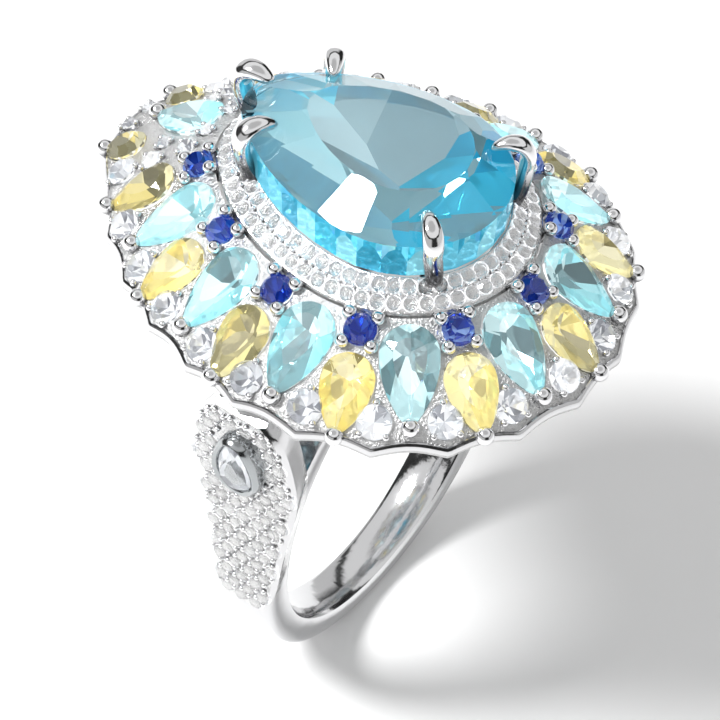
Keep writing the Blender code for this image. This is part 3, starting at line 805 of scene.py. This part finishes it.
rings = [dome_ring(part, DOME_BELOW_GIRDLES) for part in DOME_TOP_PARTS]
rings += [dome_ring(1.0, DOME_BELOW_GIRDLES + DOME_BEVEL), dome_ring(1.0, DOME_EDGE)]
rings += [dome_ring(part, DOME_BELOW_GIRDLES + DOME_THICKNESS) for part in DOME_UNDER_PARTS]
dome_mesh = loft("dome", rings, looped=True)
dome = bpy.data.objects.new("dome", dome_mesh)
bpy.context.scene.collection.objects.link(dome)
SEAT_ROOM = 0.04 * MM
SEAT_STEPS = 24
SEAT_TAPER = ((1.0 * MM, 1.0), (-0.12 * MM, 1.0), (-1.6 * MM, 0.3))
seat_tools = bpy.data.collections.new("seat_tools")
for number, (outline, place) in enumerate(seats):
    wide = [outline.point(-1.0 + 2.0 * i / SEAT_STEPS, SEAT_ROOM)[0] for i in range(SEAT_STEPS)]
    centre = outline.round_centre
    seat_rings = [
        [(p.x * scale, centre + (p.y - centre) * scale, height) for p in wide]
        for height, scale in SEAT_TAPER
    ]
    tool_mesh = loft(f"seat_{number}", seat_rings)
    tool_mesh.transform(place)
    seat_tools.objects.link(bpy.data.objects.new(f"seat_{number}", tool_mesh))
bpy.context.scene.collection.children.link(seat_tools)
cut = dome.modifiers.new("seats", "BOOLEAN")
cut.operation = "DIFFERENCE"
cut.solver = "EXACT"
cut.operand_type = "COLLECTION"
cut.collection = seat_tools
cut_mesh = bpy.data.meshes.new_from_object(dome.evaluated_get(bpy.context.evaluated_depsgraph_get()))
bpy.data.objects.remove(dome)
for tool in list(seat_tools.objects):
    bpy.data.objects.remove(tool)
bpy.data.collections.remove(seat_tools)
finished("dome", cut_mesh, grained, "dome_metal", "dome_plate", smooth=30.0)

# Dome rim. A thin polished edge runs round the plate. Its section is given as distances out and down.
RIM_SECTION = ((-0.16, -0.02), (-0.10, -0.08), (0.0, -0.06), (0.04, 0.02), (0.04, 0.22), (-0.10, 0.28))
rim_rings = [
    [dome_point(s, rim_reach(s) + out * MM, DOME_BELOW_GIRDLES + below * MM) for s in rim_shares]
    for out, below in RIM_SECTION
]
finished("dome_rim", loft("dome_rim", rim_rings, looped=True), casting, "dome_metal", smooth=30.0)

# Ball prongs. Four round-topped wires hold each blue stone, one larger wire holds every pear's tip, and
# small beads hold the white stones on the dome's inner and outer side.
BLUE_PRONG = 0.37
BLUE_PRONG_REACH = 0.98 * MM
BLUE_PRONG_LIFT = 0.1 * MM
PEAR_PRONG = 0.47
PEAR_PRONG_GAP = 0.02 * MM
PEAR_PRONG_LIFT = 0.16 * MM
WHITE_BEAD = 0.19
WHITE_BEAD_LIFT = 0.05 * MM
WHITE_BEAD_SPOTS = ((0.75, 0.75), (-0.75, 0.75), (0.0, -1.08))
big_ball = ball_mesh("big_ball", 20, 12, stem=2.2)
prongs = []
for place in blues:
    for turn in (45, 135, 225, 315):
        reach = Matrix.Rotation(math.radians(turn), 3, "Z") @ Vector((BLUE_PRONG_REACH, 0.0, BLUE_PRONG_LIFT))
        prongs.append((place @ Matrix.Translation(reach), BLUE_PRONG))
for place, length in tips:
    spot = Matrix.Translation((0.0, length / 2 + PEAR_PRONG_GAP, PEAR_PRONG_LIFT))
    prongs.append((place @ spot, PEAR_PRONG))
for place, size in whites:
    radius = size * WHITE_DIAMETER / 2
    for across, along in WHITE_BEAD_SPOTS:
        spot = Matrix.Translation((across * radius, along * radius, WHITE_BEAD_LIFT))
        prongs.append((place @ spot, WHITE_BEAD))
set_pieces("dome_prongs", prongs, big_ball, MM, beaded, "dome_metal")

# Halo. A sloping ring with polished edges, set with two staggered rows of tiny stones held by beads. Its
# edge is rounded, flat, then stepped down to the pave.
HALO_WIDTH = 1.6 * MM
HALO_THICKNESS = 0.9 * MM
HALO_EDGE = ((0.0, 0.06), (0.06, 0.0), (0.16, 0.0), (0.22, 0.1))
HALO_STEPS = 240
halo_section = [(out * MM, below * MM) for out, below in HALO_EDGE]
halo_section += [(HALO_WIDTH - out, below) for out, below in reversed(halo_section)]
halo_section += [(HALO_WIDTH, HALO_THICKNESS), (0.0, HALO_THICKNESS)]


def head_point(share, offset, drop):
    """A place at an offset from the setting's outline and a drop under the girdle."""
    plan, _ = HEAD.point(share, offset)
    return Vector((plan.x, plan.y + HEAD_FORWARD, GIRDLE_HEIGHT - drop))


def halo_point(share, offset, below=0.0):
    return head_point(share, offset, HALO_DROP + HALO_FALL * offset / HALO_WIDTH + below)


halo_rings = [
    [halo_point(-1.0 + 2.0 * i / HALO_STEPS, offset, below) for i in range(HALO_STEPS)]
    for offset, below in halo_section
]
finished("halo", loft("halo", halo_rings, looped=True), pave_metal, "halo_metal", "halo_ring", smooth=25.0)


def leaned(place, tilt, draw):
    """The place leaned a little to one side and a little forward, as a small stone sits in its beads."""
    sideways = Matrix.Rotation(draw.uniform(-tilt, tilt), 4, "X")
    return place @ sideways @ Matrix.Rotation(draw.uniform(-tilt, tilt), 4, "Y")


def halo_places(offset, count, phase, lift=0.0, tilt=0.0):
    """Evenly spaced places in one row round the halo."""
    found = []
    draw = random.Random(count)
    for i in range(count):
        at = -1.0 + 2.0 * (i + phase) / count
        _, normal = HEAD.point(at)
        across = Vector((normal.y, -normal.x, 0.0))
        along = (halo_point(at, offset + MM) - halo_point(at, offset)).normalized()
        place = Matrix((across, along, across.cross(along).normalized())).transposed().to_4x4()
        place.translation = halo_point(at, offset, -lift)
        found.append((leaned(place, tilt, draw), 1.0))
    return found


HALO_STONE = 0.80 * MM
HALO_BEAD = 0.13 * MM
INNER_ROW = 0.45 * MM
BEAD_ROW = 0.8 * MM
OUTER_ROW = 1.16 * MM
PAVE_LIFT = 0.02 * MM
PAVE_TILT = 0.22
PAVE_SIZES = (0.22, 0.05, 0.35, 0.5)
# Painted reflections for the pave stones' pavilions; the gem's last number is its strong painted glow.
PAVE_SHADES = (
    (0.98, 0.98, 0.99),
    (0.70, 0.72, 0.74),
    (1.0, 1.0, 1.0),
    (0.55, 0.56, 0.58),
    (0.95, 0.96, 0.98),
    (1.0, 1.0, 1.0),
)
pave_gem = gemstone("pave_white", (1.0, 1.0, 1.0), (1.0, 1.0, 1.0), PAVE_SHADES, WHITE_INDEX, 0.7)
unit_pave = cut_gem("pave_round", Round(1.0), PAVE_SIZES, SMALL_MAINS, 0, 16, seed=9)
halo_stones = halo_places(INNER_ROW, 54, 0.0, PAVE_LIFT, PAVE_TILT)
halo_stones += halo_places(OUTER_ROW, 58, 0.5, PAVE_LIFT, PAVE_TILT)
set_pieces("halo_pave", halo_stones, unit_pave, HALO_STONE, pave_gem, "clear_stone", seed=11, smooth=0.0)
small_ball = ball_mesh("small_ball", 10, 7)
halo_beads = halo_places(BEAD_ROW, 112, 0.25)
set_pieces("halo_beads", halo_beads, small_ball, HALO_BEAD, beaded, "halo_metal")

# Basket and gallery. Two cast rails stand in the stone's shade, painted into their darker metal, and four
# polished arms carry them from the finger arch. The rail under the stone lies just below its steep tier.
RAIL_SECTION = ((-0.50, 2.25), (-0.95, 2.55), (-0.95, 3.0), (-0.50, 3.0))
RAIL_STEPS = 120
GALLERY_ARMS = 4
rail_rings = [
    [head_point(-1.0 + 2.0 * i / RAIL_STEPS, out * MM, drop * MM) for i in range(RAIL_STEPS)]
    for out, drop in RAIL_SECTION
]
rail_mesh = loft("seat_rail", rail_rings, looped=True)
finished("seat_rail", rail_mesh, shaded, "claw_metal", "basket_seat_rail", smooth=30.0)
frame["nodes"]["basket_lower_rail"].data.materials.clear()
frame["nodes"]["basket_lower_rail"].data.materials.append(shaded)
for number in range(1, GALLERY_ARMS + 1):
    frame["nodes"][f"gallery_arm_{number}"].data.materials.clear()
    frame["nodes"][f"gallery_arm_{number}"].data.materials.append(polished)

# Claws. Five tapered wires rise from the basket, past the girdle, and are pushed down over the crown to a
# polished point. A row holds the reach from the outline, the height over the girdle, and half of the width
# and of the depth. Each claw has its share of the outline, how high its head rises and how thick it is.
CLAW_ROWS = (
    (-1.25, -3.9, 0.36, 0.34),
    (-0.60, -3.0, 0.38, 0.34),
    (0.10, -2.2, 0.40, 0.34),
    (0.46, -1.2, 0.44, 0.34),
    (0.62, 0.0, 0.48, 0.34),
    (0.62, 0.70, 0.50, 0.35),
    (0.28, 1.26, 0.48, 0.34),
    (-0.32, 1.46, 0.40, 0.30),
    (-0.92, 1.30, 0.26, 0.20),
    (-1.14, 1.14, 0.14, 0.12),
)
CLAWS = {
    "tip": (1.0, 0.75, 1.45),
    "upper_right": (0.78, 0.55, 1.15),
    "upper_left": (-0.78, 0.85, 1.3),
    "lower_right": (0.2, 1.0, 1.12),
    "lower_left": (-0.2, 1.0, 1.05),
}
CLAW_SHOULDER = 0.70
CLAW_SIDES = 16
CLAW_POINT = 0.08
CLAW_TURN = -1.7
# Where the painted shade on the claws begins over the girdle, and over what height it deepens.
CLAW_SHADE = 0.1 * MM
CLAW_FADE = 1.1 * MM


def smooth_rows(rows, steps):
    """Rows of numbers read from a smooth curve through the given ones."""
    out = []
    for i in range(len(rows) - 1):
        four = [rows[max(0, min(len(rows) - 1, i + k))] for k in (-1, 0, 1, 2)]
        for j in range(steps):
            t = j / steps
            weights = (
                -0.5 * t + t**2 - 0.5 * t**3,
                1.0 - 2.5 * t**2 + 1.5 * t**3,
                0.5 * t + 2.0 * t**2 - 1.5 * t**3,
                -0.5 * t**2 + 0.5 * t**3,
            )
            out.append(tuple(sum(w * row[k] for w, row in zip(weights, four)) for k in range(len(rows[0]))))
    return out + [tuple(rows[-1])]


def setting_point(share, offset, height):
    """A point of a claw: its foot follows the setting's outline, and its head the stone's."""
    low = head_point(share, offset, -height * MM)
    plan, _ = centre_outline.point(share, offset)
    high = Vector((plan.x, plan.y + STONE_FORWARD, GIRDLE_HEIGHT + height * MM))
    return low.lerp(high, max(0.0, min(1.0, (height - CLAW_TURN) / -CLAW_TURN)))


def claw_rings(share, rows):
    """The claw's sections along its curve."""
    rings = []
    path = smooth_rows(rows, 5)
    for i, (out, height, half_width, half_depth) in enumerate(path):
        _, normal = (HEAD if height < CLAW_TURN else centre_outline).point(share)
        outward = Vector((normal.x, normal.y, 0.0))
        across = Vector((normal.y, -normal.x, 0.0)) * half_width * MM
        ahead = path[min(i + 1, len(path) - 1)]
        behind = path[max(i - 1, 0)]
        direction = Vector((ahead[0] - behind[0], ahead[1] - behind[1])).normalized()
        face = (outward * direction.y - Vector((0.0, 0.0, direction.x))) * half_depth * MM
        middle = setting_point(share, out * MM, height)
        angles = [2 * math.pi * j / CLAW_SIDES for j in range(CLAW_SIDES)]
        rings.append([middle + across * math.cos(angle) + face * math.sin(angle) for angle in angles])
    return rings


for name, (share, rise, girth) in CLAWS.items():
    rows = []
    for out, height, half_width, half_depth in CLAW_ROWS:
        raised = min(height, CLAW_SHOULDER) + rise * max(0.0, height - CLAW_SHOULDER)
        rows.append((out, raised, girth * half_width, girth * half_depth))
    tip = setting_point(share, (CLAW_ROWS[-1][0] - CLAW_POINT) * MM, CLAW_ROWS[-1][1] - CLAW_POINT)
    claw = loft(f"claw_{name}", claw_rings(share, rows) + [[tip]])
    # Painted shade: the claw darkens below the stone's girdle, more the lower it goes.
    claw.attributes.new("painted_shade_mask", "FLOAT", "POINT")
    for vert in claw.vertices:
        depth = (GIRDLE_HEIGHT + CLAW_SHADE - vert.co.z) / CLAW_FADE
        claw.attributes["painted_shade_mask"].data[vert.index].value = max(0.0, min(1.0, depth))
    finished(f"claw_{name}_wire", claw, beaded, "claw_metal", f"claw_{name}", smooth=60.0)

# Shank. One casting: a slim band that widens into two cathedral shoulders, and the arch that closes the
# finger hole under the head. All its sizes are in millimetres. An edge lists how far each corner lies from
# the bore or the outside, and in from the side.
BORE_RADIUS = 9.2
BAND_BOTTOM = 1.5
BAND_ARCH = 1.2
BAND_SIDE = 1.9
BAND_WIDTH = 2.6
BAND_SPREAD = 0.5
BAND_STEPS = 160
BORE_EDGE = ((0.0, 0.3), (0.15, 0.08), (0.4, 0.0))
OUTER_EDGE = ((0.35, 0.0), (0.1, 0.1), (0.0, 0.4))


def band_section(turn):
    side = math.cos(turn) ** 2
    flat = BAND_BOTTOM if math.sin(turn) < 0 else BAND_ARCH
    outer = BORE_RADIUS + flat + (BAND_SIDE - flat) * side
    half = (BAND_WIDTH + BAND_SPREAD * side) / 2
    edge = [(BORE_RADIUS + rise, half - inset) for rise, inset in BORE_EDGE]
    edge += [(outer - rise, half - inset) for rise, inset in OUTER_EDGE]
    corners = [(r, -y) for r, y in edge] + edge[::-1]
    return [Vector((r * math.cos(turn), y, r * math.sin(turn))) * MM for r, y in corners]


band_rings = [band_section(2 * math.pi * i / BAND_STEPS) for i in range(BAND_STEPS)]
band_mesh = loft("shank", band_rings, looped=True)
band = bpy.data.objects.new("band", band_mesh)
bpy.context.scene.collection.objects.link(band)

# Shoulders of the shank. A row holds the height, how far the outer face stands out there, and its width.
SHOULDER_ROWS = (
    (-1.3, 0.12, 1.0),
    (-0.5, 0.16, 3.0),
    (0.9, 0.18, 3.9),
    (4.2, 0.16, 4.7),
    (8.2, 0.22, 6.0),
    (10.4, 0.46, 6.1),
    (13.1, 0.755, 5.0),
    (14.3, 0.95, 3.0),
)
FACE_START = 11.1
PAVE_START = -1.2
SHOULDER_DEPTH = 1.7
SHOULDER_EDGE = 0.25
SHOULDER_TAPER = 0.5
BACK_EDGE = 0.1
CROWN_START = 13.1
CROWN_RUN = 1.2


def shoulder_section(side, height, out, width):
    """One level section of a shoulder, narrower at its back, which climbs near the top to meet the dome."""
    face = FACE_START + out
    back = face - SHOULDER_DEPTH
    half = width / 2
    back_half = max(half - SHOULDER_TAPER, half / 2)
    rise = max(0.0, (height - CROWN_START) / CROWN_RUN)
    corners = [(face - SHOULDER_EDGE, -half), (face, SHOULDER_EDGE - half)]
    corners += [(face, half - SHOULDER_EDGE), (face - SHOULDER_EDGE, half)]
    corners += [(back + BACK_EDGE, back_half + BACK_EDGE), (back, back_half)]
    corners += [(back, -back_half), (back + BACK_EDGE, -back_half - BACK_EDGE)]
    middle = (face + back) / 2
    return [Vector((side * x, y, height + (rise if x < middle else 0.0))) * MM for x, y in corners]


helpers = []
for side in (1.0, -1.0):
    rings = [shoulder_section(side, *row) for row in smooth_rows(SHOULDER_ROWS, 4)]
    shoulder = bpy.data.objects.new("shoulder", loft("shoulder", rings))
    bpy.context.scene.collection.objects.link(shoulder)
    helpers.append(shoulder)
    join = band.modifiers.new("join", "BOOLEAN")
    join.operation = "UNION"
    join.solver = "EXACT"
    join.object = shoulder
shank_mesh = bpy.data.meshes.new_from_object(band.evaluated_get(bpy.context.evaluated_depsgraph_get()))
for helper in helpers + [band]:
    bpy.data.objects.remove(helper)
shank_mesh.materials.clear()
for metal in (casting, pave_metal):
    shank_mesh.materials.append(metal)
for face in shank_mesh.polygons:
    outside = abs(face.normal.x) > 0.9 and abs(face.center.x) > FACE_START * MM
    face.material_index = 1 if outside and face.center.z > PAVE_START * MM else 0
finished("shank_casting", shank_mesh, None, "shank_metal", "shank", smooth=35.0)


def shoulder_at(height):
    """How far out the shoulder's face stands at a height, its width there and its slope."""
    rows = smooth_rows(SHOULDER_ROWS, 8)
    for low, high in zip(rows, rows[1:]):
        if low[0] <= height <= high[0]:
            slope = (high[1] - low[1]) / (high[0] - low[0])
            out = low[1] + slope * (height - low[0])
            width = low[2] + (high[2] - low[2]) * (height - low[0]) / (high[0] - low[0])
            return FACE_START + out, width, slope
    return None


def face_place(side, across, height, lift):
    """A place on a shoulder's face, with X across, Y up along it and Z outward."""
    out, _, slope = shoulder_at(height)
    outward = Vector((side * 1.0, 0.0, -slope)).normalized()
    along = Vector((side * slope, 0.0, 1.0)).normalized()
    place = Matrix((along.cross(outward), along, outward)).transposed().to_4x4()
    place.translation = Vector((side * out, across, height)) * MM + outward * lift * MM
    return place


# Shoulder pave. Small round stones in close staggered rows cover each shoulder's face and go round the
# bezel. Beads between them hold them.
PAVE_PITCH = 0.93
ROW_PITCH = PAVE_PITCH * 0.87
PAVE_ROWS = 18
PAVE_COLUMNS = 4
PAVE_BOTTOM = -0.45
PAVE_TOP = 14.1
PAVE_MARGIN = 0.3
BEAD_MARGIN = 0.2
SHOULDER_STONE = 0.92 * MM
SHOULDER_BEAD = 0.16 * MM
STONE_RISE = 0.04
BEAD_RISE = 0.06
BEAD_STEPS = ((0.0, 0.58), (0.5, 0.29))
BEZEL_HEIGHT = 10.75
STONE_CLEAR = (1.72, 2.4)
BEAD_CLEAR = (1.5, 2.2)


def by_bezel(across, height, clear):
    """Whether a place is so near the bezel that its cup would cover it."""
    return (across / clear[0]) ** 2 + ((height - BEZEL_HEIGHT) / clear[1]) ** 2 <= 1.0


shoulder_stones = []
shoulder_beads = []
draw = random.Random(4)
for side in (1.0, -1.0):
    for row in range(PAVE_ROWS):
        height = PAVE_BOTTOM + row * ROW_PITCH
        half = shoulder_at(height)[1] / 2
        for column in range(-PAVE_COLUMNS, PAVE_COLUMNS + 1):
            across = (column + (0.5 if row % 2 else 0.0)) * PAVE_PITCH
            if abs(across) < half - PAVE_MARGIN and not by_bezel(across, height, STONE_CLEAR):
                lean = Matrix.Rotation(draw.uniform(-PAVE_TILT, PAVE_TILT), 4, draw.choice("XY"))
                shoulder_stones.append((face_place(side, across, height, STONE_RISE) @ lean, 1.0))
            for step, up_row in BEAD_STEPS:
                spot = across + step * PAVE_PITCH
                level = height + up_row * ROW_PITCH
                if level >= PAVE_TOP or by_bezel(spot, level, BEAD_CLEAR):
                    continue
                if abs(spot) < shoulder_at(level)[1] / 2 - BEAD_MARGIN:
                    shoulder_beads.append((face_place(side, spot, level, BEAD_RISE), 1.0))
set_pieces(
    "shoulder_pave", shoulder_stones, unit_pave, SHOULDER_STONE, pave_gem, "clear_stone", seed=21, smooth=0.0
)
set_pieces("shoulder_beads", shoulder_beads, small_ball, SHOULDER_BEAD, beaded, "shank_metal")

# Shoulder bezels. A plain polished cup with a pear stone in it, on each shoulder. The cup's metal is
# painted dark, as a painted reflection of dark surroundings. A row of the cup holds a distance out from its
# outline and a height over the shoulder's face.
CUP_ROWS = (
    (0.0, -0.1),
    (0.03, 0.45),
    (-0.03, 0.72),
    (-0.15, 0.86),
    (-0.28, 0.82),
    (-0.36, 0.70),
    (-0.38, 0.5),
    (-0.38, 0.4),
)
CUP_STEPS = 64
CUP_LENGTH = 4.1 * MM
CUP_WIDTH = 2.8 * MM
CUP_TIP_RADIUS = 0.95 * MM
CUP_WALL = 0.42 * MM
CUP_STONE_LIFT = 0.66 * MM
CUP_STONE_SIZES = (0.35 * MM, 0.08 * MM, 0.42 * MM, 0.6)
cup_outline = Pear(CUP_LENGTH, CUP_WIDTH, CUP_TIP_RADIUS)
cup_stone = Pear(CUP_LENGTH - 2 * CUP_WALL, CUP_WIDTH - 2 * CUP_WALL, CUP_TIP_RADIUS - CUP_WALL)


def cup_ring(out, height):
    plans = [cup_outline.point(-1.0 + 2.0 * i / CUP_STEPS, out * MM)[0] for i in range(CUP_STEPS)]
    return [(p.x, p.y, height * MM) for p in plans]


for side, word in ((1.0, "right"), (-1.0, "left")):
    place = face_place(side, 0.0, BEZEL_HEIGHT, 0.0)
    cup = loft(f"bezel_{word}", [cup_ring(out, height) for out, height in CUP_ROWS])
    cup.transform(place)
    finished(f"bezel_cup_{word}", cup, shaded, "bezel_metal", f"bezel_{word}", smooth=50.0)
    gem = cut_gem(
        f"bezel_stone_{word}", cup_stone, CUP_STONE_SIZES, SMALL_MAINS, 2 * SMALL_MAINS, SMALL_STEPS, seed=50
    )
    gem.transform(place @ Matrix.Translation((0.0, 0.0, CUP_STONE_LIFT)))
    finished(f"bezel_gem_{word}", gem, white_gem, "clear_stone", f"bezel_stone_{word}", smooth=0.0)

# Floor, light and surroundings. A white sweep, a large soft key light from behind on the left, and white
# walls with a few dark gaps, which bright metal and cut stones need to show their shape.
FLOOR_REACH = 1.5
FLOOR_CORNERS = ((-1, -1), (1, -1), (1, 1), (-1, 1))
corners = [(x * FLOOR_REACH, y * FLOOR_REACH, cad_box[0][2]) for x, y in FLOOR_CORNERS]
floor_mesh = bpy.data.meshes.new("floor")
floor_mesh.from_pydata(corners, [], [(0, 1, 2, 3)])
floor = bpy.data.objects.new("floor", floor_mesh)
bpy.context.scene.collection.objects.link(floor)
floor_white, tree, shader = material_with_shader("floor_white")
shader.inputs["Roughness"].default_value = 0.7
speck = add_node(
    tree,
    "ShaderNodeTexNoise",
    [("Vector", add_node(tree, "ShaderNodeTexCoord").outputs["Object"]), ("Scale", 40.0)],
).outputs["Fac"]
paper = add_node(tree, "ShaderNodeMix", [("Factor", speck)], data_type="RGBA")
paper.inputs[6].default_value = (0.93, 0.93, 0.93, 1.0)
paper.inputs[7].default_value = (0.95, 0.95, 0.95, 1.0)
tree.links.new(paper.outputs[2], shader.inputs["Base Color"])
floor_mesh.materials.append(floor_white)


def soft_light(name, place, aim, size, watts):
    light = bpy.data.lights.new(name, "AREA")
    light.shape = "DISK"
    light.size = size
    light.energy = watts
    lamp = bpy.data.objects.new(name, light)
    lamp.location = place
    lamp.rotation_euler = (Vector(aim) - Vector(place)).to_track_quat("-Z", "Y").to_euler()
    bpy.context.scene.collection.objects.link(lamp)


KEY_PLACE = (-0.22, 0.26, 0.42)
KEY_AIM = (0.0, 0.0, 0.01)
KEY_SIZE = 0.16
KEY_WATTS = 3.2
soft_light("key", KEY_PLACE, KEY_AIM, KEY_SIZE, KEY_WATTS)


def set_greys(ramp, stops):
    """Gives a ramp its greys. A stop holds where it lies and how bright it is."""
    for i, (at, grey) in enumerate(stops):
        stop = ramp.elements[i] if i < 2 else ramp.elements.new(at)
        stop.position = at
        stop.color = (grey, grey, grey, 1.0)


world = bpy.data.worlds.new("studio")
bpy.context.scene.world = world
world.use_nodes = True
tree = world.node_tree
sky = tree.nodes["Background"]
way = add_node(tree, "ShaderNodeTexCoord").outputs["Generated"]
split = add_node(tree, "ShaderNodeSeparateXYZ", [("Vector", way)]).outputs
turn = add_node(tree, "ShaderNodeMath", [(0, split["Y"]), (1, split["X"])], operation="ARCTAN2").outputs[0]
spin = add_node(
    tree, "ShaderNodeMapRange", [("Value", turn), ("From Min", -math.pi), ("From Max", math.pi)]
).outputs["Result"]
walls = add_node(tree, "ShaderNodeValToRGB", [("Fac", spin)])
WALL_GREYS = (
    (0.0, 0.75),
    (0.08, 0.75),
    (0.11, 0.04),
    (0.20, 0.04),
    (0.23, 0.9),
    (0.40, 0.9),
    (0.43, 0.03),
    (0.53, 0.03),
    (0.56, 0.9),
    (0.72, 0.9),
    (0.75, 0.06),
    (0.86, 0.06),
    (0.89, 0.75),
)
set_greys(walls.color_ramp, WALL_GREYS)
above = add_node(tree, "ShaderNodeMapRange", [("Value", split["Z"]), ("From Min", 0.40), ("From Max", 0.42)])
roof = add_node(tree, "ShaderNodeValToRGB", [("Fac", split["Z"])])
ROOF_GREYS = ((0.42, 0.04), (0.52, 0.04), (0.56, 1.15), (0.84, 1.15), (0.92, 0.7))
set_greys(roof.color_ramp, ROOF_GREYS)
ceiling = add_node(tree, "ShaderNodeMix", [("Factor", above.outputs["Result"])], data_type="RGBA")
tree.links.new(walls.outputs["Color"], ceiling.inputs[6])
tree.links.new(roof.outputs["Color"], ceiling.inputs[7])
seen = add_node(tree, "ShaderNodeLightPath").outputs["Is Camera Ray"]
shown = add_node(tree, "ShaderNodeMix", [("Factor", seen)], data_type="RGBA")
tree.links.new(ceiling.outputs[2], shown.inputs[6])
shown.inputs[7].default_value = (1.0, 1.0, 1.0, 1.0)
tree.links.new(shown.outputs[2], sky.inputs["Color"])
sky.inputs["Strength"].default_value = 0.75
bpy.context.scene.view_settings.view_transform = "Standard"
